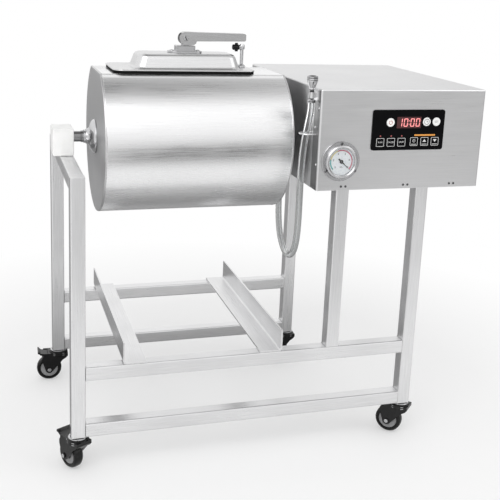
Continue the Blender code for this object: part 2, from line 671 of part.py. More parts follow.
def build_lid(steel, rubber, black, chrome, axis):
    """Gasket, pressed lid, clamp bracket with its pin and lever, and the vent valve."""
    lid = pivot("lid_lift", (LID_MIDDLE - DRUM_MIDDLE, 0.0, FLAT_Z - AXIS_Z), parent=axis)
    outer = rounded_outline(LID_LENGTH - 2 * GASKET_INSET, LID_DEPTH - 2 * GASKET_INSET,
                            LID_CORNER - GASKET_INSET, 5)
    inner = rounded_outline(MOUTH_LENGTH + 2 * GASKET_INSET, MOUTH_DEPTH + 2 * GASKET_INSET,
                            MOUTH_CORNER + GASKET_INSET, 5)
    piece("lid_gasket", prism(outer, CLEARANCE, CLEARANCE + GASKET_THICKNESS, "Z", [inner]), rubber,
          parent=lid)

    foot = LID_FOOT - FLAT_Z
    top = foot + LID_RISE
    taper = DOME_TAPER
    levels = [
        (DOME_LEFT + taper + 0.004, DOME_RIGHT - taper - 0.004, DOME_DEPTH - 2 * taper - 0.008,
         DOME_CORNER - 0.006, top - LID_SHEET),
        (DOME_LEFT + taper - 0.001, DOME_RIGHT - taper + 0.001, DOME_DEPTH - 2 * taper + 0.002,
         DOME_CORNER - 0.003, top - LID_SHEET - 0.004),
        (DOME_LEFT + LID_SHEET + 0.001, DOME_RIGHT - LID_SHEET - 0.001, DOME_DEPTH - 2 * LID_SHEET - 0.002,
         DOME_CORNER - LID_SHEET, foot + 0.003),
        (DOME_LEFT, DOME_RIGHT, DOME_DEPTH, DOME_CORNER, foot),
        (LID_LEFT, LID_RIGHT, LID_DEPTH, LID_CORNER, foot),
        (LID_LEFT, LID_RIGHT, LID_DEPTH, LID_CORNER, foot + LID_SHEET - 0.0006),
        (LID_LEFT + 0.0006, LID_RIGHT - 0.0006, LID_DEPTH - 0.0012, LID_CORNER - 0.0006, foot + LID_SHEET),
        (DOME_LEFT - 0.003, DOME_RIGHT + 0.003, DOME_DEPTH + 0.006, DOME_CORNER + 0.003, foot + LID_SHEET),
        (DOME_LEFT - 0.0005, DOME_RIGHT + 0.0005, DOME_DEPTH + 0.001, DOME_CORNER, foot + LID_SHEET + 0.0015),
        (DOME_LEFT + 0.0012, DOME_RIGHT - 0.0012, DOME_DEPTH - 0.0024, DOME_CORNER - 0.001,
         foot + LID_SHEET + 0.005),
        (DOME_LEFT + taper - 0.003, DOME_RIGHT - taper + 0.003, DOME_DEPTH - 2 * taper + 0.006,
         DOME_CORNER - 0.002, top - 0.0055),
        (DOME_LEFT + taper - 0.0005, DOME_RIGHT - taper + 0.0005, DOME_DEPTH - 2 * taper + 0.001,
         DOME_CORNER - 0.003, top - 0.0018),
        (DOME_LEFT + taper + 0.004, DOME_RIGHT - taper - 0.004, DOME_DEPTH - 2 * taper - 0.008,
         DOME_CORNER - 0.006, top),
    ]
    piece("lid", loft([lid_ring(*level) for level in levels]), steel, parent=lid)

    at = (PIVOT_X - LID_MIDDLE, 0.0, PIVOT_Z - FLAT_Z)
    under = LID_TOP + CLEARANCE - PIVOT_Z
    stadium = rounded_outline(CLAMP_BASE_LENGTH, CLAMP_BASE_DEPTH, CLAMP_BASE_DEPTH / 2 - 0.0001, 8)
    bracket = piece("clamp_bracket", prism(stadium, under, under + CLAMP_BASE_THICKNESS), chrome, at, lid)
    half = CLAMP_BLOCK_LENGTH / 2
    join(bracket, block((-half, -CLAMP_BLOCK_DEPTH / 2, under + 0.001),
                        (half, CLAMP_BLOCK_DEPTH / 2, -PIVOT_RISE), 0.001, 1))
    ear = [(EAR_RADIUS, -PIVOT_RISE - 0.004), *arc((0, 0), EAR_RADIUS, 0, 180, 12),
           (-EAR_RADIUS, -PIVOT_RISE - 0.004)]
    join(bracket, prism(ear, -EAR_THICKNESS / 2, EAR_THICKNESS / 2, "Y"))
    pin_hole = circle(PIN_RADIUS + CLEARANCE, 20)
    cut(bracket, prism(pin_hole, -0.02, 0.02, "Y"))

    end = LEVER_LENGTH
    side = [
        *arc((0, 0), LEVER_END_RADIUS, 90, 270, 16), (0.0150, -LEVER_END_RADIUS), (0.0185, -0.0085),
        (0.0200, -0.0048), (end - 0.002, -0.0034), (end, -0.0014), (end, 0.0080), (end - 0.0025, 0.0100),
        (0.0220, 0.0108),
    ]
    lever_axis = pivot("lever_pivot", at, parent=lid)
    lever = piece("clamp_lever", prism(side, -LEVER_WIDTH / 2, LEVER_WIDTH / 2, "Y"), chrome,
                  parent=lever_axis)
    inside = LEVER_WIDTH / 2 - LEVER_WALL
    cut(lever, block((-0.02, -inside, -0.02), (end - LEVER_WALL, inside, LEVER_END_RADIUS - 0.0024)))
    cut(lever, prism(pin_hole, -0.02, 0.02, "Y"))

    head = LEVER_WIDTH / 2 + CLEARANCE
    pin = [
        (0, -head - 0.0015), (0.0040, -head - 0.0015), (0.0046, -head - 0.0009), (0.0046, -head),
        (PIN_RADIUS, -head), (PIN_RADIUS, head), (0.0046, head), (0.0046, head + 0.0009),
        (0.0040, head + 0.0015), (0, head + 0.0015),
    ]
    piece("clamp_pin", turned(pin, 16, "Y"), chrome, at, lid)
    build_valve(black, chrome, lid)


def build_valve(black, chrome, lid):
    """The small vent valve at the right end of the lid, with a black wing to turn it."""
    base = LID_FOOT + LID_SHEET + CLEARANCE - VALVE_Z
    at = (VALVE_X - LID_MIDDLE, 0.0, VALVE_Z - FLAT_Z)
    top = VALVE_BARREL_RADIUS + 0.001
    stem = [(0, base), (0.0065, base), (0.0065, base + 0.003), (0.0048, base + 0.0045),
            (VALVE_STEM_RADIUS, base + 0.006), (VALVE_STEM_RADIUS, -0.004), (0.0050, -0.0030),
            (0.0050, 0.003), (0.0040, top), (0, top)]
    body = piece("valve_body", turned(stem, 16), chrome, at, lid)
    barrel = VALVE_BARREL_LENGTH
    join(body, turned([(0, 0), (VALVE_BARREL_RADIUS, 0), (VALVE_BARREL_RADIUS, barrel - 0.0008),
                       (VALVE_BARREL_RADIUS - 0.0008, barrel), (0, barrel)], 16, "-X"))
    hub_start = barrel + CLEARANCE
    wing = [*arc((0, WING_SPAN - 0.003), 0.003, -20, 200, 8), (-WING_HUB_RADIUS * 0.75, 0),
            *arc((0, -WING_SPAN + 0.003), 0.003, 160, 380, 8), (WING_HUB_RADIUS * 0.75, 0)]
    knob_axis = pivot("valve_turn", at, parent=lid)
    knob = piece("valve_knob", prism(wing, -hub_start - WING_THICKNESS, -hub_start - 0.0015, "X"), black,
                 parent=knob_axis)
    far = hub_start + WING_HUB_LENGTH
    join(knob, turned([(0, hub_start), (WING_HUB_RADIUS, hub_start), (WING_HUB_RADIUS, far - 0.001),
                       (WING_HUB_RADIUS - 0.001, far), (0, far)], 16, "-X"))


def key_point(share):
    """A key's place on the panel, from its shares of the panel's length and height."""
    return PANEL_LEFT + share[0] * PANEL_LENGTH, PANEL_TOP - share[1] * PANEL_HEIGHT


def build_box(steel, tray, black):
    """The folded cover, the base tray under it and the mains inlet in its back."""
    low = (BOX_LEFT, BOX_FRONT, BOX_BOTTOM - 0.010)
    high = (BOX_RIGHT, BOX_BACK, BOX_TOP)
    cover = piece("box_cover", block(low, high, BOX_EDGE, 2), steel)
    sheet = BOX_SHEET
    room = block((BOX_LEFT + sheet, BOX_FRONT + sheet, BOX_BOTTOM - 0.030),
                 (BOX_RIGHT - sheet, BOX_BACK - sheet, BOX_TOP - sheet), BOX_EDGE - sheet, 1)
    cut(cover, room)
    trim = 0.010
    cut(cover, block((BOX_LEFT - trim, BOX_FRONT - trim, BOX_BOTTOM - 0.040),
                     (BOX_RIGHT + trim, BOX_BACK + trim, BOX_BOTTOM)))
    holes = [prism(circle(CAN_RADIUS + CLEARANCE, 32, (GAUGE_X, GAUGE_Z)), BOX_FRONT - 0.01,
                   BOX_FRONT + 0.01, "Y")]
    window = rounded_outline(PANEL_LENGTH - 2 * WINDOW_MARGIN, PANEL_HEIGHT - 2 * WINDOW_MARGIN, 0.002, 2,
                             (PANEL_X, PANEL_Z))
    holes.append(prism(window, BOX_FRONT - 0.01, BOX_FRONT + 0.01, "Y"))
    holes.append(prism(circle(DRIVE_HOLE_RADIUS, 24, (AXIS_Y, AXIS_Z)), BOX_LEFT - 0.01,
                       BOX_LEFT + 0.01, "X"))
    inlet_x = BOX_RIGHT - INLET_FROM_RIGHT
    inlet_z = BOX_BOTTOM + INLET_ABOVE_BOTTOM
    inlet_hole = rounded_outline(INLET_BODY[0] + 2 * CLEARANCE, INLET_BODY[1] + 2 * CLEARANCE, 0.003, 3,
                                 (inlet_x, inlet_z))
    holes.append(prism(inlet_hole, BOX_BACK - 0.01, BOX_BACK + 0.01, "Y"))
    first = (BOX_LEFT + BOX_RIGHT) / 2 - VENT_LENGTH / 2
    for i in range(VENT_SLOTS):
        level = BOX_TOP - 0.035 - i * VENT_PITCH
        slot = rounded_outline(VENT_LENGTH, VENT_WIDTH, VENT_WIDTH / 2 - 0.0001, 2,
                               (first, level))
        holes.append(prism(slot, BOX_BACK - 0.01, BOX_BACK + 0.01, "Y"))
    cut(cover, merged(*holes))

    gap = sheet + CLEARANCE
    tray_low = (BOX_LEFT + gap, BOX_FRONT + gap, BOX_BOTTOM)
    tray_high = (BOX_RIGHT - gap, BOX_BACK - gap, BASE_TOP + BASE_LIP)
    base = piece("box_base", block(tray_low, tray_high, 0.001, 1), tray)
    inner_low = [value + BASE_SHEET for value in tray_low]
    inner_high = (tray_high[0] - BASE_SHEET, tray_high[1] - BASE_SHEET, tray_high[2] + 0.02)
    cut(base, block(inner_low, inner_high))
    cut(base, prism(circle(PORT_RADIUS + 2 * CLEARANCE, 24, PORT_POINT), BOX_BOTTOM - 0.01,
                    BASE_TOP + 0.01))
    build_inlet(black, inlet_x, inlet_z)


def build_inlet(black, x, z):
    """The mains inlet: a flanged moulding with a recess and three flat pins."""
    back = BOX_BACK + CLEARANCE
    flange = rounded_outline(INLET_LENGTH, INLET_HEIGHT, 0.004, 3, (x, z))
    inlet = piece("power_inlet", prism(flange, back, back + INLET_FLANGE, "Y"), black)
    body = rounded_outline(INLET_BODY[0], INLET_BODY[1], 0.003, 3, (x, z))
    join(inlet, prism(body, BOX_BACK - INLET_DEPTH, back + INLET_FLANGE / 2, "Y"))
    cavity = rounded_outline(INLET_CAVITY[0], INLET_CAVITY[1], 0.002, 2, (x, z))
    floor = BOX_BACK - INLET_DEPTH + 0.003
    cut(inlet, prism(cavity, floor, back + INLET_FLANGE + 0.01, "Y"))
    pins = []
    for i, rise in ((-1, 0.003), (0, 0.0055), (1, 0.003)):
        px = x + i * 0.007
        pins.append(block((px - 0.001, floor - 0.001, z + rise - 0.002), (px + 0.001, floor + 0.012, z + rise + 0.002)))
    join(inlet, merged(*pins))


def build_panel(black, white, green):
    """The panel plate, its nine keys and the circuit board behind it."""
    plate = rounded_outline(PANEL_LENGTH, PANEL_HEIGHT, PANEL_CORNER, 3, (PANEL_X, PANEL_Z))
    holes = [circle(ROUND_KEY_RADIUS + CLEARANCE, 20, key_point(share)) for share in ROUND_KEYS.values()]
    side = SQUARE_KEY + 2 * CLEARANCE
    holes += [rounded_outline(side, side, SQUARE_KEY_CORNER, 2, key_point(share))
              for share in SQUARE_KEYS.values()]
    piece("control_panel", prism(plate, PANEL_FRONT, PANEL_BACK, "Y", holes), black)

    board_face = BOX_FRONT + BOARD_SETBACK
    stem_end = board_face - KEY_TRAVEL - CLEARANCE
    face = PANEL_FRONT - KEY_PROUD
    flange_front = PANEL_BACK + CLEARANCE
    flange_back = flange_front + KEY_FLANGE
    for name, share in ROUND_KEYS.items():
        x, z = key_point(share)
        rim = ROUND_KEY_RADIUS
        profile = [
            (0, 0), (rim - 0.0006, 0), (rim, -0.0004), (rim, face - flange_front),
            (rim + KEY_FLANGE, face - flange_front), (rim + KEY_FLANGE, face - flange_back),
            (KEY_STEM_RADIUS, face - flange_back), (KEY_STEM_RADIUS, face - stem_end), (0, face - stem_end),
        ]
        piece(name, turned(profile, 20, "-Y"), white, (x, face, z))
    for name, share in SQUARE_KEYS.items():
        x, z = key_point(share)
        wide = SQUARE_KEY + 2 * KEY_FLANGE
        rings = [
            [lifted(p, 0.0, "Y") for p in rounded_outline(SQUARE_KEY - 0.0008, SQUARE_KEY - 0.0008,
                                                         SQUARE_KEY_CORNER, 2)],
            [lifted(p, 0.0004, "Y") for p in rounded_outline(SQUARE_KEY, SQUARE_KEY, SQUARE_KEY_CORNER, 2)],
            [lifted(p, flange_front - face, "Y") for p in rounded_outline(SQUARE_KEY, SQUARE_KEY,
                                                                          SQUARE_KEY_CORNER, 2)],
            [lifted(p, flange_front - face, "Y") for p in rounded_outline(wide, wide, SQUARE_KEY_CORNER, 2)],
            [lifted(p, flange_back - face, "Y") for p in rounded_outline(wide, wide, SQUARE_KEY_CORNER, 2)],
            [lifted(p, flange_back - face, "Y") for p in rounded_outline(0.006, 0.006, 0.001, 2)],
            [lifted(p, stem_end - face, "Y") for p in rounded_outline(0.006, 0.006, 0.001, 2)],
        ]
        piece(name, loft(rings), black, (x, face, z))

    length = PANEL_LENGTH + 2 * BOARD_MARGIN
    height = PANEL_HEIGHT + 2 * BOARD_MARGIN
    outline = rounded_outline(length, height, 0.003, 2, (PANEL_X, PANEL_Z))
    board = piece("circuit_board", prism(outline, board_face, board_face + BOARD_THICKNESS, "Y"), green)
    wall = BOX_FRONT + BOX_SHEET + CLEARANCE
    posts = []
    for sx in (-1, 1):
        for sz in (-1, 1):
            middle = (PANEL_X + sx * (length / 2 - 0.0042), PANEL_Z + sz * (height / 2 - 0.0042))
            posts.append(prism(circle(0.0026, 12, middle), wall, board_face + 0.0008, "Y"))
    parts = board_face + BOARD_THICKNESS - 0.0005
    for x0, z0, dx, dz, dy in ((-0.050, -0.020, 0.030, 0.024, 0.014), (-0.005, 0.004, 0.022, 0.018, 0.010),
                               (0.030, -0.025, 0.020, 0.040, 0.012)):
        posts.append(block((PANEL_X + x0, parts, PANEL_Z + z0),
                           (PANEL_X + x0 + dx, parts + dy, PANEL_Z + z0 + dz)))
    join(board, merged(*posts))


def build_gauge(chrome, black, glass):
    """The vacuum gauge: case with flange and bezel, needle on its post, and the glass."""
    at = (GAUGE_X, BOX_FRONT, GAUGE_Z)
    seat = CLEARANCE
    front = GAUGE_PROUD
    lens = front - 0.0028
    case = [
        (0, -CAN_DEPTH), (CAN_RADIUS, -CAN_DEPTH), (CAN_RADIUS, seat), (GAUGE_RADIUS, seat),
        (GAUGE_RADIUS, GAUGE_FLANGE - 0.0008), (GAUGE_RADIUS - 0.0008, GAUGE_FLANGE),
        (BEZEL_RADIUS + 0.0006, GAUGE_FLANGE), (BEZEL_RADIUS, GAUGE_FLANGE + 0.0010),
        (BEZEL_RADIUS, front - 0.0020), (BEZEL_RADIUS - 0.0018, front - 0.0003),
        (BEZEL_RADIUS - 0.0032, front), (DIAL_RADIUS, lens + 0.0012), (DIAL_RADIUS, DIAL_FLOOR),
        (0.0026, DIAL_FLOOR), (0.0026, DIAL_FLOOR + 0.0006), (0.0010, DIAL_FLOOR + 0.0006),
        (0.0010, DIAL_FLOOR + 0.0015), (0, DIAL_FLOOR + 0.0015),
    ]
    case_piece = piece("gauge_case", turned(case, 32, "-Y"), chrome, at)
    stub = [(0, CAN_DEPTH - 0.001), (0.005, CAN_DEPTH - 0.001), (0.005, CAN_DEPTH + 0.010),
            (0, CAN_DEPTH + 0.010)]
    join(case_piece, turned(stub, 16, "Y"))

    low = DIAL_FLOOR + 0.0006 + CLEARANCE
    outline = [(-NEEDLE_TAIL, -0.0014), (-0.0030, -0.0010), *arc((0, 0), 0.0032, 200, 340, 6),
               (0.0060, -0.0007), (NEEDLE_LENGTH, -0.0002), (NEEDLE_LENGTH, 0.0002), (0.0060, 0.0007),
               *arc((0, 0), 0.0032, 20, 160, 6), (-0.0030, 0.0010), (-NEEDLE_TAIL, 0.0014)]
    needle = prism(outline, -low - 0.0006, -low, "Y", [circle(NEEDLE_BORE, 12)])
    bmesh.ops.rotate(needle, cent=(0, 0, 0), matrix=Matrix.Rotation(-NEEDLE_ANGLE, 3, "Y"),
                     verts=needle.verts[:])
    piece("gauge_needle", needle, black, at)
    pane = DIAL_RADIUS - CLEARANCE
    disc = [(0, lens - 0.0014), (pane, lens - 0.0014), (pane, lens - 0.0002), (0, lens - 0.0002)]
    piece("gauge_glass", turned(disc, 32, "-Y"), glass, at)


def build_drive(grey, dark):
    """The gearmotor that turns the drum and the vacuum pump with its barb through the base."""
    floor = BASE_TOP + CLEARANCE
    left = GEARBOX_LEFT
    right = left + GEARBOX_LENGTH
    low = (left, AXIS_Y - GEARBOX_WIDTH / 2, floor)
    high = (right, AXIS_Y + GEARBOX_WIDTH / 2, AXIS_Z + GEARBOX_TOP)
    motor = piece("gearmotor", block(low, high, 0.006, 1), grey)
    radius = MOTOR_RADIUS
    profile = [(0, -0.004), (radius, -0.004)]
    for i in range(3):
        z = 0.014 + i * 0.034
        profile += [(radius, z), (radius - 0.004, z + 0.003), (radius - 0.004, z + 0.019), (radius, z + 0.022)]
    profile += [(radius, MOTOR_LENGTH - 0.004), (radius - 0.004, MOTOR_LENGTH), (0, MOTOR_LENGTH)]
    join(motor, turned(profile, 24, "X", (right, AXIS_Y, AXIS_Z)))
    bore = DRIVE_SHAFT_RADIUS + CLEARANCE
    depth = SHAFT_ENGAGEMENT + 0.004
    cut(motor, turned([(0, -0.01), (bore, -0.01), (bore, depth), (0, depth)], 24, "X",
                      (left, AXIS_Y, AXIS_Z)))

    front = BOX_BACK - BOX_SHEET - 0.018 - PUMP_WIDTH
    start = PORT_POINT[0] + 0.024
    pump = piece("vacuum_pump", block((start, front, floor), (start + PUMP_LENGTH, front + PUMP_WIDTH,
                                                              floor + PUMP_HEIGHT), 0.005, 1), dark)
    x, y = PORT_POINT
    middle = front + PUMP_WIDTH / 2
    level = floor + 0.030
    elbow = [(x, y, BOX_BOTTOM - PORT_DROP), (x, y, level - 0.006), (x, y + 0.002, level - 0.002),
             (x, y + 0.006, level), (x, middle - 0.006, level), (x + 0.002, middle - 0.002, level),
             (x + 0.006, middle, level), (start + 0.004, middle, level)]
    join(pump, swept(elbow, PORT_RADIUS, 12))
    barbs = []
    for i in range(2):
        z = BOX_BOTTOM - PORT_DROP + 0.001 + i * 0.0045
        barbs.append([(0, z), (PORT_RADIUS - 0.0004, z), (PORT_RADIUS + 0.0006, z + 0.003), (0, z + 0.003)])
    join(pump, merged(*[turned(barb, 12, "Z", (x, y, 0)) for barb in barbs]))
    head = [(0, 0), (0.028, 0), (0.028, 0.014), (0.022, 0.020), (0, 0.020)]
    join(pump, turned(head, 20, "Z", (start + PUMP_LENGTH * 0.3, middle, floor + PUMP_HEIGHT - 0.001)))


def swept(points, radius, steps):
    """A round bar along a bent line, as a shape for welding."""
    path = [Vector(point) for point in points]
    rings = []
    side = Vector((1.0, 0.0, 0.0))
    for i, point in enumerate(path):
        ahead = (path[min(i + 1, len(path) - 1)] - path[max(i - 1, 0)]).normalized()
        side = (side - ahead * side.dot(ahead)).normalized()
        other = ahead.cross(side)
        rings.append([point + radius * (math.cos(a) * side + math.sin(a) * other)
                      for a in (math.tau * k / steps for k in range(steps))])
    return loft(rings)


def build_hose(clear, chrome, steel):
    """The hose from the pump's barb to its parked connector, with the clip and the ring."""
    start = (*PORT_POINT, BOX_BOTTOM - PORT_DROP - CLEARANCE)
    end = (*CONNECTOR_POINT, CONNECTOR_FOOT - CLEARANCE)
    route = [start, *smooth_route(HOSE_ROUTE, HOSE_STEP), end]
    wire("vacuum_hose", route, HOSE_RADIUS, clear, 3)
    x, y = CONNECTOR_POINT
    foot = CONNECTOR_FOOT
    top = CONNECTOR_LENGTH
    ferrule = HOSE_RADIUS + 0.0006
    profile = [
        (0, 0), (ferrule - 0.0006, 0), (ferrule, 0.0006), (ferrule, 0.0045), (0.0048, 0.0055),
        (NECK_RADIUS, 0.0065), (NECK_RADIUS, 0.0210), (0.0056, 0.0225), (0.0056, 0.0260),
        (0.0066, 0.0290), (CUP_RADIUS, 0.0360), (CUP_RADIUS, top - 0.0008), (CUP_RADIUS - 0.0008, top),
        (CUP_BORE, top), (CUP_BORE, top - CUP_DEPTH), (0, top - CUP_DEPTH),
    ]
    piece("hose_connector", turned(profile, 20), chrome, (x, y, foot))

    low = foot + CLIP_RISE
    high = low + CLIP_HEIGHT
    grip = NECK_RADIUS + CLEARANCE
    outline = [*arc((0, 0), grip + CLIP_WALL, 140, -140, 20), *arc((0, 0), grip, -140, 140, 20)]
    clip = piece("hose_clip", prism(outline, low, high), steel, (x, y, 0))
    wall = BOX_LEFT - CLEARANCE - x
    foot_low = (wall - CLIP_WALL, -0.010, low - 0.004)
    join(clip, block(foot_low, (wall, 0.010, high + 0.004)))
    join(clip, block((grip + CLIP_WALL / 2, -0.0022, low + 0.001), (wall - CLIP_WALL / 2, 0.0022, high - 0.001)))

    rx, ry = RING_POINT
    wall = BOX_LEFT - CLEARANCE
    loop = [(px, py, RING_HEIGHT) for px, py in arc((rx, ry), RING_RADIUS, 90, 270, 12)]
    ends = [(wall, ry + RING_RADIUS, RING_HEIGHT)], [(wall, ry - RING_RADIUS, RING_HEIGHT)]
    wire("hose_ring", [*ends[0], *loop, *ends[1]], WIRE_RADIUS, steel, 1)


def build_fork(name, black, swivel):
    """A moulded fork with its race and plug, the wheel slot, the axle and the pedal's ears."""
    px, pz = PEDAL_PIVOT
    side = [
        (-CAP_RADIUS, FORK_TOP), (-CAP_RADIUS, 0.0540), (-0.0150, 0.0495), (-0.0080, 0.0450),
        *arc((TRAIL, AXLE_Z), 0.0078, 205, 335, 6), (0.0335, 0.0440), (0.0335, 0.0500),
        (px + 0.0048, 0.0535), (px + 0.0048, FORK_TOP - 0.0008), (px + 0.0040, FORK_TOP),
    ]
    half = FORK_WIDTH / 2
    fork = piece(name, prism(side, -half, half, "Y"), black, parent=swivel)
    race = [
        (0, 0.0530), (CAP_RADIUS - 0.0015, 0.0530), (CAP_RADIUS, 0.0545), (CAP_RADIUS, FORK_TOP + 0.0012),
        (CAP_RADIUS - 0.0020, FORK_TOP + 0.0026), (0.0125, FORK_TOP + 0.0030),
        (0.0125, POST_FOOT - CLEARANCE), (TUBE / 2 - TUBE_WALL - 2 * CLEARANCE, POST_FOOT - CLEARANCE),
        (TUBE / 2 - TUBE_WALL - 2 * CLEARANCE, POST_FOOT + PLUG_HEIGHT - 0.002),
        (TUBE / 2 - TUBE_WALL - 0.0020, POST_FOOT + PLUG_HEIGHT), (0, POST_FOOT + PLUG_HEIGHT),
    ]
    join(fork, turned(race, 20))
    slot = WHEEL_WIDTH / 2 + 0.0010
    cut(fork, turned([(0, -slot), (WHEEL_RADIUS + WHEEL_CLEARANCE, -slot),
                      (WHEEL_RADIUS + WHEEL_CLEARANCE, slot), (0, slot)], 24, "Y", (TRAIL, 0, AXLE_Z)))
    room = PEDAL_ROOT_WIDTH / 2 + CLEARANCE
    cut(fork, block((px - 0.0042, -room, 0.0532), (px + 0.02, room, 0.07)))
    cut(fork, prism(circle(PEDAL_EAR_HOLE, 16, PEDAL_PIVOT), -0.03, 0.03, "Y"))
    end = half + 0.0016
    axle = [(0, -end), (0.0045, -end), (0.0045, -half + 0.0005), (AXLE_RADIUS, -half + 0.0005),
            (AXLE_RADIUS, half - 0.0005), (0.0045, half - 0.0005), (0.0045, end), (0, end)]
    join(fork, turned(axle, 12, "Y", (TRAIL, 0, AXLE_Z)))
    return fork


def build_wheel(name, tyre, swivel):
    """One wheel: rounded tread, dished sides and a bored hub."""
    axle = pivot(f"{name}_axle", (TRAIL, 0.0, AXLE_Z), parent=swivel)
    half = WHEEL_WIDTH / 2
    bore = AXLE_RADIUS + CLEARANCE
    right = [(bore, half), (0.0080, half), (0.0085, half - 0.0030), (0.0175, half - 0.0030),
             (0.0185, half - 0.0006), (WHEEL_RADIUS - 0.0030, half - 0.0006),
             (WHEEL_RADIUS - 0.0006, half - 0.0036)]
    profile = right + [(WHEEL_RADIUS, 0.0)] + [(r, -z) for r, z in reversed(right)]
    piece(name, turned(profile, 24, "Y", closed=True), tyre, parent=axle)


def build_pedal(name, black, swivel):
    """The brake pedal: a flared tread plate on two pegs between the fork's ears."""
    px, pz = PEDAL_PIVOT
    axis = pivot(f"{name}_axis", (px, 0.0, pz), parent=swivel)
    root = PEDAL_ROOT_WIDTH / 2
    tip = PEDAL_TIP_WIDTH / 2
    reach = PEDAL_REACH - px
    neck = 0.0062
    stations = [(-0.0034, -0.0018, 0.0016, root), (neck, -0.0018, 0.0020, root),
                (neck + 0.004, -0.0012, 0.0030, root + 0.0010), (reach - 0.003, 0.0020, 0.0064, tip - 0.001),
                (reach, 0.0034, 0.0070, tip)]
    rings = [[Vector((x, -w, low)), Vector((x, w, low)), Vector((x, w, high)), Vector((x, -w, high))]
             for x, low, high, w in stations]
    pedal = piece(name, loft(rings), black, parent=axis)
    end = FORK_WIDTH / 2 - 0.0002
    join(pedal, turned([(0, -end), (PEDAL_PEG, -end), (PEDAL_PEG, end), (0, end)], 16, "Y"))


def build_casters(black, tyre):
    """Four swivel casters under the posts, all trailing the same way."""
    back = BACK_FACE - TUBE / 2
    front = FRONT_FACE + TUBE / 2
    places = {
        "front_left": (LEFT_FACE + TUBE / 2, front),
        "back_left": (LEFT_FACE + TUBE / 2, back),
        "front_right": (RIGHT_FACE - TUBE / 2, front),
        "back_right": (LEFT_FACE + BACK_RIGHT_POST_OFFSET + TUBE / 2, back),
    }
    for corner, (x, y) in places.items():
        swivel = pivot(f"{corner}_swivel", (x, y, 0.0), math.radians(CASTER_ANGLES[corner]))
        build_fork(f"{corner}_fork", black, swivel)
        build_wheel(f"{corner}_wheel", tyre, swivel)
        build_pedal(f"{corner}_pedal", black, swivel)


def main():
    for old in list(bpy.data.objects):
        bpy.data.objects.remove(old, do_unlink=True)
    build_frame(STEEL)
    build_bearing_block(WHITE_PLASTIC)
    drum_axis = pivot("drum_axis", (DRUM_MIDDLE, AXIS_Y, AXIS_Z))
    build_drum(STEEL, MATT_STEEL, CHROME, drum_axis)
    build_lid(STEEL, GASKET_RUBBER, BLACK_PLASTIC, CHROME, drum_axis)
    build_box(STEEL, STEEL, BLACK_PLASTIC)
    build_panel(BLACK_PLASTIC, WHITE_PLASTIC, BOARD_GREEN)
    build_gauge(CHROME, BLACK_PLASTIC, CLEAR_GLASS)
    build_drive(CAST_ALUMINIUM, BLACK_PLASTIC)
    build_hose(CLEAR_HOSE, CHROME, STEEL)
    build_casters(BLACK_PLASTIC, TYRE_RUBBER)


main()
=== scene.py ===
"""Finished model of the meat vacuum tumbler: finishes, fittings, hose, camera and light.

Metres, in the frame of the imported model: +X along the drum towards the control box, -Y towards
the operator, +Z up, the origin on the floor under the middle of the machine.
"""

import json
import math

import bmesh
import bpy
from bpy.props import FloatProperty, FloatVectorProperty, IntProperty, PointerProperty
from mathutils import Matrix, Vector


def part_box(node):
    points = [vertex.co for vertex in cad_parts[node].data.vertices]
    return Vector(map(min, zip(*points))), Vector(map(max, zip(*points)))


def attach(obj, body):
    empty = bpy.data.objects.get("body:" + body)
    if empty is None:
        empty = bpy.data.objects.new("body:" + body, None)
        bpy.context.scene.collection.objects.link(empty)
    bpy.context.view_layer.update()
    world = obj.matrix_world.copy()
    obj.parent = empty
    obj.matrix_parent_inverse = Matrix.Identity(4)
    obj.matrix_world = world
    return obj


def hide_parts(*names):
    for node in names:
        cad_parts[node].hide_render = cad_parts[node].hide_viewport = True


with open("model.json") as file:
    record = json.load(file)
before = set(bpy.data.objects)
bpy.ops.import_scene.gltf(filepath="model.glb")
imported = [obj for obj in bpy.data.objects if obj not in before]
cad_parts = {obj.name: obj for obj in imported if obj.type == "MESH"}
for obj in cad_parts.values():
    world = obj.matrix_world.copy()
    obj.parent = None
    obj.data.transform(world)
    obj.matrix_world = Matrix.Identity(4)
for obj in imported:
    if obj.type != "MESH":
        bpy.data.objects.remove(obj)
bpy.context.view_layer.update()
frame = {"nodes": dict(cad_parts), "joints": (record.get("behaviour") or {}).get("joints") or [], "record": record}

bl_info = {
    "name": "Meat vacuum tumbler",
    "version": (1, 0, 0),
    "blender": (4, 5, 0),
    "location": "3D View > Sidebar > Tumbler",
    "description": "Finishes and fittings of a vacuum tumbler, stage and camera",
    "category": "Object",
}

BODY_OF = {node: body for body, nodes in frame["record"]["behaviour"]["bodies"].items()
           for node in nodes}
JOINT_AT = {joint["name"]: Vector(joint["pos_m"]) for joint in frame["joints"]
            if "pos_m" in joint}

FRAME_TUBES = {
    "Z": ("front_left_post", "back_left_post", "front_right_post", "front_middle_post",
          "back_right_post"),
    "X": ("front_lower_rail", "front_upper_rail", "back_lower_rail", "back_upper_rail"),
    "Y": ("left_cross_tube", "left_angle_rail", "right_angle_rail"),
}
CORNERS = ("front_left", "back_left", "front_right", "back_right")
ROUND_KEYS = ("power_key", "light_key", "mode_key")
WORD_KEYS = {"run_key": "RUN", "pause_key": "PAUSE", "stop_key": "STOP"}
SIGN_KEYS = ("timer_key", "up_key", "down_key")

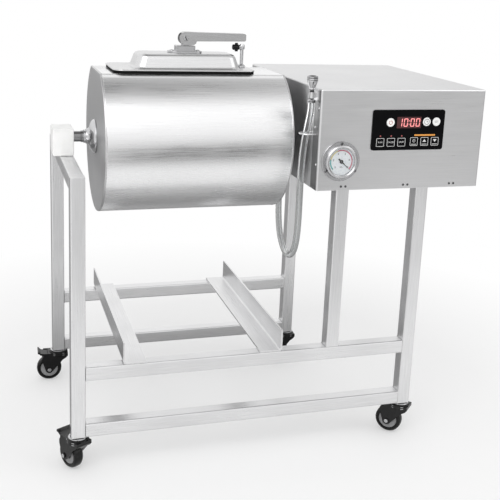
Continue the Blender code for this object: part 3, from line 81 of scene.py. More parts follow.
# The hose's route, the same points as in the part's source
HOSE_START = (0.0840, 0.0400, 0.4717)
HOSE_ROUTE = (
    (0.0840, 0.0400, 0.4580), (0.0832, 0.0385, 0.4330), (0.0812, 0.0325, 0.4050),
    (0.0784, 0.0205, 0.3770), (0.0750, 0.0000, 0.3520), (0.0716, -0.0290, 0.3350),
    (0.0684, -0.0620, 0.3290), (0.0654, -0.0930, 0.3370), (0.0622, -0.1180, 0.3560),
    (0.0590, -0.1360, 0.3850), (0.0556, -0.1480, 0.4220), (0.0525, -0.1560, 0.4640),
    (0.0505, -0.1615, 0.5080), (0.0505, -0.1655, 0.5450), (0.0525, -0.1700, 0.5780),
    (0.0552, -0.1745, 0.6010), (0.0565, -0.1765, 0.6180),
)
HOSE_END = (0.0565, -0.1765, 0.6297)
HOSE_STEP = 0.026
PIPE_STEP = 0.007

# Rings on the hose's connector: radius, start and end below its top, and their thickness
# The groove rings are dark bands that stand proud of the connector: painted shadow in its grooves
GRIP_GROOVE_SHADOWS = ((0.0091, -0.0069, -0.0060), (0.0091, -0.0040, -0.0031),
                (0.00375, -0.0383, -0.0243), (0.0068, -0.0430, -0.0420))
GRIP_RINGS = ((0.0093, -0.0059, -0.0041), (0.0093, -0.0084, -0.0070),
              (0.0058, -0.0220, -0.0196))
GRIP_DEPTH = 0.0004

# Profiles of turned parts, as (radius, height): heads for a unit radius, the rest in metres
HEADS = {
    "rivet": ((0, 0.52), (0.30, 0.50), (0.62, 0.39), (0.86, 0.20), (1.0, 0.0)),
    "screw": ((0, 0.50), (0.45, 0.47), (0.80, 0.34), (0.97, 0.12), (1.0, 0.0)),
}
HUB_DOME = ((0.0110, 0.0), (0.0300, 0.0), (0.0306, 0.0010), (0.0300, 0.0026), (0.0262, 0.0060),
            (0.0212, 0.0086), (0.0160, 0.0102), (0.0146, 0.0106), (0.0110, 0.0106))
RACE_RING = ((0.0128, 0.0632), (0.0158, 0.0632), (0.0162, 0.0636), (0.0162, 0.0644),
             (0.0156, 0.0649), (0.0128, 0.0649))
HUB_CAP = ((0.0038, 0.0093), (0.0076, 0.0093), (0.0078, 0.0095), (0.0074, 0.0098),
           (0.0038, 0.0098))
HUB_DISC = ((0.0087, 0.0063), (0.0173, 0.0063), (0.0173, 0.0072), (0.0166, 0.0075),
            (0.0160, 0.0069), (0.0100, 0.0069), (0.0087, 0.0072))
AXLE_NUT = ((0, 0.0167), (0.0040, 0.0167), (0.0040, 0.0178), (0.0034, 0.0184), (0, 0.0184))

INK = 0.0001  # how far print stands proud of its face
LETTERING = 0.00012  # thickness of words and numbers
LAMP = 0.0002  # thickness of the display's lit bars, the timer bar and the dial
FLANGE = 0.0002  # thickness of the flange that shows on the box's left side
WELD_INSET = 0.002  # from a tube's side to the end of its weld
SAME_PLACE = 0.000002  # points closer than this are one
SCALE_ZERO = 222  # where the gauge's scale starts, in degrees
SCALE_SWEEP = 264
DIAL_EDGE = 0.0222  # how far the ticks reach from the gauge's middle

WHITE = (1.0, 1.0, 1.0)
BLACK = (0.0, 0.0, 0.0)
# Tones of the room in metal and glass, from straight below at 0 to straight above at 1
ROOM_TONES = ((0.0, 0.95), (0.50, 0.80), (0.56, 0.92), (0.68, 1.0), (0.90, 1.0), (0.97, 0.48),
              (1.0, 0.16))
# Painted shade of the floor in metal: the floor is painted darker for glossy rays only. The shares of X
# and Y that are added up, the tones at the start and at the end of a stretch, and where that sum
# starts and ends, in metres. The first is behind the machine and the second to its right; of those
# ahead of it the lightest counts.
FLOOR_PAINTED_SHADE = ((0.0, 1.0, 1.0, 0.36, -0.32, 0.02), (1.0, 0.0, 1.0, 0.45, 0.8, 2.0),
               (0.0, 1.0, 0.14, 1.0, -1.35, -0.68), (0.0, 1.0, 0.9, 0.0, -6.5, -3.2),
               (1.0, 0.39, 0.0, 1.0, -0.06, 0.10), (1.0, 0.147, 1.0, 0.0, -0.38, -0.29))
LAMP_AIM = Vector((0.0, 0.0, 0.35))


class TumblerFinishes(bpy.types.PropertyGroup):
    """Colours of the machine's finishes."""

    steel: FloatVectorProperty(name="Steel", description="Brushed stainless sheet and tube",
                               subtype="COLOR", default=(0.72, 0.72, 0.725))
    polished: FloatVectorProperty(name="Polished steel", description="Drum shell and pressed lid",
                                  subtype="COLOR", default=(0.88, 0.88, 0.885))
    matt: FloatVectorProperty(name="Matt steel", description="Blasted drum heads",
                              subtype="COLOR", default=(0.60, 0.60, 0.605))
    chrome: FloatVectorProperty(name="Chrome", description="Plated fittings",
                                subtype="COLOR", default=(0.60, 0.60, 0.61))
    block: FloatVectorProperty(name="Bearing block", description="White machined plastic",
                               subtype="COLOR", default=(0.94, 0.94, 0.93))
    black: FloatVectorProperty(name="Black plastic", description="Casters and knobs",
                               subtype="COLOR", default=(0.004, 0.004, 0.0045))
    tyre: FloatVectorProperty(name="Tread", description="Rubber on the casters' wheels",
                              subtype="COLOR", default=(0.007, 0.007, 0.007))
    film: FloatVectorProperty(name="Panel film", description="Black printed film",
                              subtype="COLOR", default=(0.003, 0.003, 0.0035))
    digits: FloatVectorProperty(name="Digits", description="Lit segments of the display",
                                subtype="COLOR", default=(0.82, 0.26, 0.26))
    amber: FloatVectorProperty(name="Printed bar", description="Bar over the timer keys",
                               subtype="COLOR", default=(0.80, 0.34, 0.06))


class TumblerSizes(bpy.types.PropertyGroup):
    """Sizes of the small fittings."""

    hose: FloatProperty(name="Hose diameter", description="Outside of the clear hose",
                        unit="LENGTH", default=0.012)
    hose_bore: FloatProperty(name="Hose bore", description="Inside of the clear hose",
                             unit="LENGTH", default=0.0078)
    rivet: FloatProperty(name="Rivet radius", description="Rivet heads on the box",
                         unit="LENGTH", default=0.0024)
    screw: FloatProperty(name="Screw radius", description="Screw heads on the box",
                         unit="LENGTH", default=0.0022)
    shaft: FloatProperty(name="Shaft radius", description="Shaft of the drum at its left end",
                         unit="LENGTH", default=0.009)
    bead: FloatProperty(name="Weld bead radius", description="Welds at the tubes' joints",
                        unit="LENGTH", default=0.0010)
    ticks: IntProperty(name="Dial ticks", description="Marks round the gauge's scale",
                       default=31, min=2)


class TumblerStage(bpy.types.PropertyGroup):
    """Camera and lamps."""

    camera_place: FloatVectorProperty(name="Camera", description="Where the camera stands",
                                      subtype="TRANSLATION", unit="LENGTH",
                                      default=(-0.4783, -1.5599, 0.8376))
    yaw: FloatProperty(name="Yaw", description="Turn to the right of straight ahead",
                       subtype="ANGLE", default=0.3038)
    pitch: FloatProperty(name="Pitch", description="Tilt below level",
                         subtype="ANGLE", default=0.2344)
    roll: FloatProperty(name="Roll", description="Turn about the line of sight",
                        subtype="ANGLE", default=0.0430)
    lens: FloatProperty(name="Lens", description="Focal length in millimetres on a 36 mm sensor",
                        default=64.09)
    rise: FloatProperty(name="Lens shift", description="Upward shift of the lens, as a share",
                        default=-0.13)
    key_power: FloatProperty(name="Key lamp", description="Power of the large lamp",
                             unit="POWER", default=38.0)
    fill_power: FloatProperty(name="Fill lamp", description="Power of the second lamp",
                              unit="POWER", default=14.0)
    room: FloatProperty(name="Room light", description="Even light from all round", default=0.74)


def fitted(thing, **settings):
    """A node, modifier, lamp or the like, with some of its values set."""
    for key, value in settings.items():
        setattr(thing, key, value)
    return thing


class Nodes:
    """A node tree that is built up node by node."""

    def __init__(self, tree):
        self.tree = tree

    def feed(self, socket, value):
        """Join an output to a socket, or give the socket a constant."""
        if isinstance(value, bpy.types.NodeSocket):
            self.tree.links.new(value, socket)
        else:
            socket.default_value = (*value, 1.0) if socket.type == "RGBA" else value

    def add(self, kind, inputs=(), **settings):
        """A node with its settings, and an output or a constant on each input that is named."""
        node = fitted(self.tree.nodes.new(kind), **settings)
        for key, value in dict(inputs).items():
            self.feed(node.inputs[key], value)
        return node

    def maths(self, operation, *values):
        """A sum on one value or more."""
        return self.add("ShaderNodeMath", enumerate(values), operation=operation).outputs[0]

    def most(self, value, *others):
        """The highest of several values."""
        for other in others:
            value = self.maths("MAXIMUM", value, other)
        return value

    def spread(self, value, low, high, start=0.3, end=0.7):
        """A value between start and end, spread from low to high."""
        return self.add("ShaderNodeMapRange", enumerate((value, start, end, low, high))).outputs[0]

    def choice(self, factor, first, second):
        """Two shaders, mixed by a factor."""
        return self.add("ShaderNodeMixShader", enumerate((factor, first, second))).outputs[0]


class Finish(Nodes):
    """A material that is built up from nodes round one shader."""

    def __init__(self, name, **values):
        self.material = bpy.data.materials.new(name)
        self.material.use_nodes = True
        super().__init__(self.material.node_tree)
        self.shader = self.tree.nodes["Principled BSDF"]
        self.place = self.add("ShaderNodeTexCoord").outputs["Object"]
        self.set(**values)

    def set(self, **values):
        """Constants or outputs on the shader's own sockets, such as specular_ior_level=0.4."""
        sockets = {socket.name.lower().replace(" ", "_"): socket for socket in self.shader.inputs}
        for key, value in values.items():
            self.feed(sockets[key], value)

    def noise(self, scale, detail, rough, stretch=(1.0, 1.0, 1.0)):
        """Noise on the object's own coordinates, drawn out along an axis."""
        drawn = self.add("ShaderNodeMapping", {"Vector": self.place, "Scale": stretch})
        return self.add("ShaderNodeTexNoise", {"Vector": drawn.outputs[0], "Scale": scale,
                                               "Detail": detail, "Roughness": rough}).outputs[0]

    def blend(self, factor, first, second):
        """Two colours, or outputs, mixed by a factor."""
        return self.add("ShaderNodeMix", {0: factor, 6: first, 7: second},
                        data_type="RGBA").outputs[2]

    def tones(self, noise, first, second, share=1.0):
        """Two colours, mixed by a noise, with at most a share of the second."""
        return self.blend(self.spread(noise, 0.0, share), first, second)

    def tint_edges_with_wear_and_light(self, base, radius, amount, colour):
        """A base colour that turns to another along sharp edges, and not on open faces: wear on plastic; on metal,
        painted highlight where lighter and painted shade where darker.
        """
        rounded = self.add("ShaderNodeBevel", {"Radius": radius}, samples=4).outputs[0]
        normal = self.add("ShaderNodeNewGeometry").outputs["Normal"]
        dot = self.add("ShaderNodeVectorMath", {0: rounded, 1: normal}, operation="DOT_PRODUCT")
        edge = self.spread(dot.outputs["Value"], 1.0, 0.0, 0.80, 0.985)
        return self.blend(self.maths("MULTIPLY", edge, amount), base, colour)

    def relief(self, height, strength, depth):
        """Bump on the shader's normal."""
        self.set(normal=self.add("ShaderNodeBump", {"Strength": strength, "Distance": depth,
                                                    "Height": height}).outputs[0])


def shade(colour, amount, lift=0.0, top=1.0):
    """A colour made lighter or darker."""
    return tuple(min(top, channel * amount + lift) for channel in colour)


def brushed(name, colour, roughness, grain="X", fine=900.0, tone=0.05, edge_wear_and_light=1.28):
    """Steel with its grain along an axis and faint smudges; its edges are painted lighter, a painted highlight
    with a little wear, or darker, a painted shade.
    """
    finish = Finish(name, metallic=1.0)
    streaks = finish.noise(fine, 4.0, 0.6, [0.020 if axis == grain else 1.0 for axis in "XYZ"])
    clouds = finish.noise(9.0, 3.0, 0.5)
    toned = finish.tones(streaks, shade(colour, 1 - tone), shade(colour, 1 + tone))
    smudged = finish.tones(clouds, toned, shade(colour, 1 - 2 * tone), 0.25)
    grainy = finish.spread(streaks, roughness - 0.05, roughness + 0.07)
    # Edges lighter as painted highlight with a little wear by default, darker as painted shade with a low last
    # value
    finish.set(base_color=finish.tint_edges_with_wear_and_light(smudged, 0.0014, 0.75, shade(colour, edge_wear_and_light)),
               roughness=finish.maths("ADD", grainy, finish.spread(clouds, -0.02, 0.05)))
    finish.relief(streaks, 0.14, 0.00002)
    return finish.material


def polished(name, colour, roughness, tone=0.04, edge_wear_and_light=0.35):
    """Plated or buffed metal with a breath of handling marks, darker at its edges as painted shade."""
    finish = Finish(name, metallic=1.0)
    marks = finish.noise(70.0, 4.0, 0.6)
    toned = finish.tones(marks, shade(colour, 1 + tone), shade(colour, 1 - tone))
    # Edges painted darker: painted shade
    finish.set(base_color=finish.tint_edges_with_wear_and_light(toned, 0.0012, 0.8, shade(colour, edge_wear_and_light)),
               roughness=finish.spread(marks, roughness - 0.02, roughness + 0.06))
    finish.relief(finish.noise(900.0, 2.0, 0.5), 0.10, 0.00002)
    return finish.material


def moulded(name, colour, roughness, grain=700.0, edge_wear_and_light=2.6, depth=0.00006, gloss=0.5):
    """Plastic or rubber with a fine moulded grain, a little dust and rubbed edges."""
    finish = Finish(name, specular_ior_level=gloss)
    dust = finish.noise(28.0, 4.0, 0.6)
    toned = finish.blend(finish.spread(dust, 0.0, 0.6, 0.4, 0.8), colour,
                         shade(colour, 1.3, 0.001, math.inf))
    finish.set(base_color=finish.tint_edges_with_wear_and_light(toned, 0.0008, 0.5, shade(colour, edge_wear_and_light, 0.008, 0.92)),
               roughness=finish.spread(dust, roughness - 0.05, roughness + 0.12))
    finish.relief(finish.noise(grain, 3.0, 0.6), 0.4, depth)
    return finish.material


def printed(name, colour, roughness=0.45):
    """Printing ink, slightly uneven."""
    finish = Finish(name)
    ink = finish.noise(400.0, 2.0, 0.5)
    finish.set(base_color=finish.tones(ink, shade(colour, 0.94), shade(colour, 1.05)),
               roughness=finish.spread(ink, roughness - 0.05, roughness + 0.05))
    return finish.material


def lit(name, colour, strength):
    """A lit segment or lamp, with a soft unevenness."""
    finish = Finish(name, roughness=0.4, emission_strength=strength)
    warm = finish.tones(finish.noise(300.0, 2.0, 0.5), shade(colour, 0.85), colour)
    finish.set(base_color=warm, emission_color=warm)
    return finish.material


def clear(name, colour, roughness, ior=1.45):
    """Clear glass or plastic with a faint haze."""
    finish = Finish(name, transmission_weight=1.0, ior=ior)
    haze = finish.noise(120.0, 3.0, 0.5)
    finish.set(base_color=finish.tones(haze, colour, shade(colour, 0.97)),
               roughness=finish.spread(haze, roughness, roughness + 0.04))
    return finish.material


def middle_of(node, axes="xyz"):
    """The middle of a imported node, on the axes that are named."""
    low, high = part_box(node)
    return tuple((getattr(low, axis) + getattr(high, axis)) / 2 for axis in axes)


def point_at(centre, radius, angle):
    """The point of a circle at an angle in degrees."""
    turn = math.radians(angle)
    return centre[0] + radius * math.cos(turn), centre[1] + radius * math.sin(turn)


def arc(centre, radius, start, end, steps):
    """Points along an arc, angles in degrees, both ends included."""
    return [point_at(centre, radius, start + (end - start) * i / steps) for i in range(steps + 1)]


def circle(radius, steps=32, middle=(0.0, 0.0)):
    """Points round a full circle."""
    return arc(middle, radius, 0, 360 - 360 / steps, steps - 1)


def rounded_outline(length, depth, corner, steps, middle):
    """A rectangle with round corners, anticlockwise."""
    x, y = length / 2 - corner, depth / 2 - corner
    points = []
    for quarter, (sx, sy) in enumerate(((1, 1), (-1, 1), (-1, -1), (1, -1))):
        centre = (middle[0] + sx * x, middle[1] + sy * y)
        points += arc(centre, corner, 90 * quarter, 90 * quarter + 90, steps)
    return points


def moved(shape, matrix):
    """A shape moved by a matrix."""
    bmesh.ops.transform(shape, matrix=matrix, verts=shape.verts[:])
    return shape


def tidied(shape, gap):
    """A shape with its doubles merged and its faces turned outwards."""
    bmesh.ops.remove_doubles(shape, verts=shape.verts[:], dist=gap)
    bmesh.ops.recalc_face_normals(shape, faces=shape.faces[:])
    return shape


def mesh_of(shape, name="passing"):
    """A mesh from a shape, which is used up."""
    mesh = bpy.data.meshes.new(name)
    shape.to_mesh(mesh)
    shape.free()
    return mesh


def shape_of(mesh, onto=None):
    """A shape, new or added onto another, from a passing mesh, which is used up."""
    shape = onto or bmesh.new()
    shape.from_mesh(mesh)
    bpy.data.meshes.remove(mesh)
    return shape


def merged(first, *others):
    """Several shapes as one."""
    for other in others:
        shape_of(mesh_of(other), first)
    return first


def prism(outline, low, high, axis="Z", holes=()):
    """An outline with holes, pushed along Y or Z from low to high."""
    shape = bmesh.new()

    def lifted(u, v, height):
        return Vector((u, height, v) if axis == "Y" else (u, v, height))

    edges = []
    for ring in (outline, *holes):
        verts = [shape.verts.new(lifted(*point, low)) for point in ring]
        edges += [shape.edges.new((verts[i - 1], verts[i])) for i in range(len(verts))]
    bmesh.ops.triangle_fill(shape, use_beauty=True, edges=edges)
    pushed = bmesh.ops.extrude_face_region(shape, geom=shape.faces[:])["geom"]
    verts = [item for item in pushed if isinstance(item, bmesh.types.BMVert)]
    bmesh.ops.translate(shape, vec=lifted(0.0, 0.0, high - low), verts=verts)
    return shape


def stamp(outline, face, height=INK, holes=()):
    """An outline that stands proud of a face towards -Y."""
    return prism(outline, face - height, face, "Y", holes)


def stroke(length, depth, middle, face, height=INK):
    """A printed bar on a face towards -Y."""
    return stamp(rounded_outline(length, depth, 0.0002, 1, middle), face, height)


def sector(inner, outer, start, end, middle, face, steps=24):
    """A printed arc on a face towards -Y."""
    ring = arc(middle, outer, start, end, steps) + arc(middle, inner, end, start, steps)
    return stamp(ring, face)


def block(low, high, bevel=0.0):
    """A box between two corners, with its edges cut back by a bevel."""
    shape = bmesh.new()
    bmesh.ops.create_cube(shape, size=1.0)
    low, high = Vector(low), Vector(high)
    moved(shape, Matrix.Translation((low + high) / 2) @ Matrix.Diagonal((*(high - low), 1.0)))
    if bevel:
        bmesh.ops.bevel(shape, geom=shape.edges[:], offset=bevel, segments=1, profile=0.5,
                        affect="EDGES")
    return shape


def turned(profile, steps=32, along=(0, 0, 1), middle=(0.0, 0.0, 0.0)):
    """A profile of (radius, height) points, a ring unless it starts on the axis, spun round it."""
    shape = bmesh.new()
    verts = [shape.verts.new((radius, 0.0, height)) for radius, height in profile]
    path = verts if profile[0][0] == 0 else [*verts, verts[0]]
    edges = [shape.edges.new(pair) for pair in zip(path, path[1:])]
    bmesh.ops.spin(shape, geom=verts + edges, cent=(0, 0, 0), axis=(0, 0, 1), angle=math.tau,
                   steps=steps, use_duplicate=False)
    turn = Vector((0, 0, 1)).rotation_difference(Vector(along)).to_matrix().to_4x4()
    return moved(shape, Matrix.Translation(middle) @ turn)


def standing(middle, front):
    """The move that stands a flat drawing up on a face towards -Y."""
    return Matrix.Translation((middle[0], front, middle[1])) @ Matrix.Rotation(math.pi / 2, 4, "X")


def words(text, size, middle, front):
    """Text on a face towards -Y, about a middle (x, z), as a solid shape."""
    curve = fitted(bpy.data.curves.new("words", "FONT"), body=text, size=size, align_x="CENTER",
                   align_y="CENTER", extrude=LETTERING / 2, resolution_u=3)
    holder = bpy.data.objects.new("words", curve)
    shape = shape_of(bpy.data.meshes.new_from_object(holder))
    bpy.data.objects.remove(holder)
    bpy.data.curves.remove(curve)
    return moved(shape, standing(middle, front))


def length_of(path):
    """The length of a path of points."""
    return sum((b - a).length for a, b in zip(path, path[1:]))


def smooth_route(points, step):
    """Points a step apart on a smooth curve through the given ones."""
    knots = [Vector(point) for point in points]
    ends = [2 * knots[0] - knots[1], *knots, 2 * knots[-1] - knots[-2]]
    dense = []
    for before, start, end, after in zip(ends, ends[1:], ends[2:], ends[3:]):
        for i in range(40):
            t = i / 40
            dense.append(0.5 * (2 * start + (end - before) * t
                                + (2 * before - 5 * start + 4 * end - after) * t * t
                                + (3 * start - before - 3 * end + after) * t ** 3))
    dense.append(knots[-1])
    length = length_of(dense)
    count = max(2, round(length / step))
    route = [dense[0]]
    walked = 0.0
    for a, b in zip(dense, dense[1:]):
        walked += (b - a).length
        if walked >= length * len(route) / count and len(route) < count:
            route.append(b)
    return [*route, dense[-1]]


def rings_along(path, radius, steps):
    """Rings of points square to a path."""
    side = Vector((1.0, 0.0, 0.0))
    rings = []
    for i, point in enumerate(path):
        ahead = (path[min(i + 1, len(path) - 1)] - path[max(i - 1, 0)]).normalized()
        side = (side - ahead * side.dot(ahead)).normalized()
        other = ahead.cross(side)
        rings.append([point + radius * (math.cos(a) * side + math.sin(a) * other)
                      for a in (math.tau * k / steps for k in range(steps))])
    return rings


def pipe(path, radius, bore, steps=20):
    """A hollow tube along a path."""
    shape = bmesh.new()
    rings = [*rings_along(path, radius, steps), *reversed(rings_along(path, bore, steps))]
    rows = [[shape.verts.new(point) for point in ring] for ring in rings]
    for lower, upper in zip(rows, rows[1:] + rows[:1]):
        for i in range(steps):
            shape.faces.new((lower[i - 1], lower[i], upper[i], upper[i - 1]))
    return shape


def placed(name, data):
    """A new object in the scene."""
    made = bpy.data.objects.new(name, data)
    bpy.context.scene.collection.objects.link(made)
    return made


def applied(holder):
    """The mesh that an object's modifiers give; the object itself is used up."""
    graph = bpy.context.evaluated_depsgraph_get()
    mesh = bpy.data.meshes.new_from_object(holder.evaluated_get(graph))
    holder.modifiers.clear()
    bpy.data.objects.remove(holder)
    return mesh


def smooth(mesh, sharp):
    """Smooth faces, with edges sharp from an angle in degrees."""
    mesh.shade_smooth()
    mesh.set_sharp_from_angle(angle=math.radians(sharp))


def coat(mesh, material):
    """Give a mesh one material."""
    mesh.materials.clear()
    mesh.materials.append(material)


def shown(name, mesh, material, slot, body):
    """A finished mesh as a piece that rides on a body."""
    coat(mesh, material)
    made = placed(name, mesh)
    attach(made, body)
    return made


def piece(name, shape, material, slot, body="frame"):
    """A piece from a shape, closed, turned outwards and smooth where it is round."""
    mesh = mesh_of(tidied(shape, SAME_PLACE), name)
    smooth(mesh, 35)
    return shown(name, mesh, material, slot, body)


def dress(nodes, material):
    """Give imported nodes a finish."""
    for node in nodes:
        coat(frame["nodes"][node].data, material)


def skin(nodes, material, slot=None, sharp=32):
    """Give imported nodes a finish, and show a copy of each with its round faces smooth."""
    dress(nodes, material)
    slot = slot or material.name.partition(".")[0]  # Blender numbers a name that the model has
    made = []
    for node in nodes:
        shape = bmesh.new()
        shape.from_mesh(frame["nodes"][node].data)
        bmesh.ops.remove_doubles(shape, verts=shape.verts[:], dist=0.00001)
        shape.verts.index_update()
        mesh = bpy.data.meshes.new(f"{node}_skin")
        mesh.from_pydata([vert.co[:] for vert in shape.verts], [],
                         [[vert.index for vert in face.verts] for face in shape.faces])
        shape.free()
        smooth(mesh, sharp)
        holder = placed("holder", mesh)
        fitted(holder.modifiers.new("even", "WEIGHTED_NORMAL"), keep_sharp=True)
        made.append(shown(f"{node}_skin", applied(holder), material, slot, BODY_OF[node]))
        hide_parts(node)
    return made


def wire(points, edges=()):
    """A mesh of bare points and edges."""
    mesh = bpy.data.meshes.new("places")
    mesh.from_pydata(points, edges, [])
    return mesh


class Layout(Nodes):
    """Geometry nodes with named inputs, which end in Realize Instances and Set Material."""

    def __init__(self, name, **inputs):
        super().__init__(bpy.data.node_groups.new(name, "GeometryNodeTree"))
        new = self.tree.interface.new_socket
        new("Geometry", in_out="OUTPUT", socket_type="NodeSocketGeometry")
        kinds = {"Geometry": "Geometry", **inputs, "Finish": "Material"}
        self.keys = {label: new(label, in_out="INPUT", socket_type=f"NodeSocket{kind}").identifier
                     for label, kind in kinds.items()}
        self.given = self.add("NodeGroupInput").outputs

    def scatter(self, points, instance, rotation, scale=(1.0, 1.0, 1.0)):
        """End with an instance on every point."""
        self.end(self.add("GeometryNodeInstanceOnPoints", {
            "Points": points, "Instance": instance, "Rotation": rotation, "Scale": scale}))

    def end(self, last):
        """End with what the last node gives."""
        real = self.add("GeometryNodeRealizeInstances", {0: last.outputs[0]})
        done = self.add("GeometryNodeSetMaterial", {"Geometry": real.outputs[0],
                                                    "Material": self.given["Finish"]})
        self.add("NodeGroupOutput", {0: done.outputs[0]})

    def run(self, name, mesh, values, material, slot, body="frame"):
        """Run the nodes on a mesh, keep the result as a plain piece and drop the nodes."""
        holder = placed("places", mesh)
        step = fitted(holder.modifiers.new("layout", "NODES"), node_group=self.tree)
        for label, value in {**values, "Finish": material}.items():
            step[self.keys[label]] = value
        result = applied(holder)
        bpy.data.node_groups.remove(self.tree)
        if not result.polygons:
            raise RuntimeError(f"{name}: the node tree made nothing")
        return piece(name, shape_of(result), material, slot, body)


def fastener_layout():
    """A head on every vertex, facing along the vertex's own direction."""
    layout = Layout("fasteners", Head="Object", Radius="Float", Seed="Int")
    add, given = layout.add, layout.given
    head = add("GeometryNodeObjectInfo", {"Object": given["Head"]})
    facing = add("GeometryNodeInputNamedAttribute", {"Name": "facing"}, data_type="FLOAT_VECTOR")
    align = add("FunctionNodeAlignRotationToVector", {"Vector": facing.outputs[0]}, axis="Z")
    angle = add("FunctionNodeRandomValue", {3: math.tau, "Seed": given["Seed"]},
                data_type="FLOAT")
    about = add("FunctionNodeAxisAngleToRotation", {"Angle": angle.outputs[1]})
    spin = add("FunctionNodeRotateRotation", {"Rotation": align.outputs["Rotation"],
                                              "Rotate By": about.outputs[0]},
               rotation_space="LOCAL")
    layout.scatter(given["Geometry"], head.outputs["Geometry"], spin.outputs[0], given["Radius"])
    return layout


def bead_layout():
    """A rippled weld bead along every path of edges."""
    layout = Layout("weld_bead", Radius="Float", Ripple="Float")
    add, given = layout.add, layout.given
    path = add("GeometryNodeMeshToCurve", {"Mesh": given["Geometry"]})
    fine = add("GeometryNodeResampleCurve", {"Curve": path.outputs[0], "Length": 0.0012},
               mode="LENGTH")
    wave = add("ShaderNodeTexNoise", {"Scale": 420.0}).outputs["Fac"]
    swell = layout.maths("MULTIPLY_ADD", wave, given["Ripple"], 0.75)
    curve = add("GeometryNodeSetCurveRadius", {"Curve": fine.outputs[0], "Radius": swell})
    section = add("GeometryNodeCurvePrimitiveCircle", {"Resolution": 8, "Radius": given["Radius"]})
    layout.end(add("GeometryNodeCurveToMesh", {
        "Curve": curve.outputs[0], "Profile Curve": section.outputs["Curve"], "Scale": swell,
        "Fill Caps": True}))
    return layout


def tick_layout():
    """Bars round an arc, each pointing at the middle."""
    layout = Layout("dial_ticks", Count="Int", Radius="Float", Start="Float", Sweep="Float",
                    Bar="Vector")
    add, given, maths = layout.add, layout.given, layout.maths
    line = add("GeometryNodeMeshLine", {"Count": given["Count"]})
    share = maths("DIVIDE", add("GeometryNodeInputIndex").outputs[0],
                  maths("SUBTRACT", given["Count"], 1.0))
    angle = maths("MULTIPLY_ADD", share, given["Sweep"], given["Start"])
    at = add("ShaderNodeCombineXYZ", enumerate(
        maths("MULTIPLY", maths(way, angle), given["Radius"]) for way in ("COSINE", "SINE")))
    spots = add("GeometryNodeSetPosition", {"Geometry": line.outputs[0],
                                            "Position": at.outputs[0]})
    bar = add("GeometryNodeMeshCube", {"Size": given["Bar"]})
    about = add("FunctionNodeAxisAngleToRotation", {"Angle": angle})
    layout.scatter(spots.outputs[0], bar.outputs["Mesh"], about.outputs[0])
    return layout


def head_object(kind):
    """A head of unit radius that sits on its underside: a plain rivet or a cross-recess screw."""
    profile = (*HEADS[kind], (1.0, -0.05), (0, -0.05))
    mesh = mesh_of(tidied(turned(profile, 16), 0.0001))
    if kind == "screw":
        cross = merged(block((-0.55, -0.11, 0.18), (0.55, 0.11, 0.9)),
                       block((-0.11, -0.55, 0.18), (0.11, 0.55, 0.9)))
        tool = placed("cross", mesh_of(cross))
        plain = placed("plain", mesh)
        fitted(plain.modifiers.new("recess", "BOOLEAN"), operation="DIFFERENCE", solver="EXACT",
               use_self=True, object=tool)
        mesh = applied(plain)
        bpy.data.objects.remove(tool)
    return bpy.data.objects.new(f"{kind}_head", mesh)


def fasteners(name, kind, spots, radius, material, slot, body="frame"):
    """Heads at spots, each a place and the way that it faces."""
    mesh = wire([place for place, _ in spots])
    facing = mesh.attributes.new("facing", "FLOAT_VECTOR", "POINT")
    for entry, (_, way) in zip(facing.data, spots):
        entry.vector = way
    head = head_object(kind)
    fastener_layout().run(name, mesh, {"Head": head, "Radius": radius, "Seed": 7}, material, slot,
                          body)
    bpy.data.objects.remove(head)


def beads(name, paths, radius, material, slot, body="frame", ripple=0.5):
    """Weld beads along paths of points."""
    points, edges = [], []
    for path in paths:
        edges += [(len(points) + i, len(points) + i + 1) for i in range(len(path) - 1)]
        points += path
    bead_layout().run(name, wire(points, edges), {"Radius": radius, "Ripple": ripple}, material,
                      slot, body)


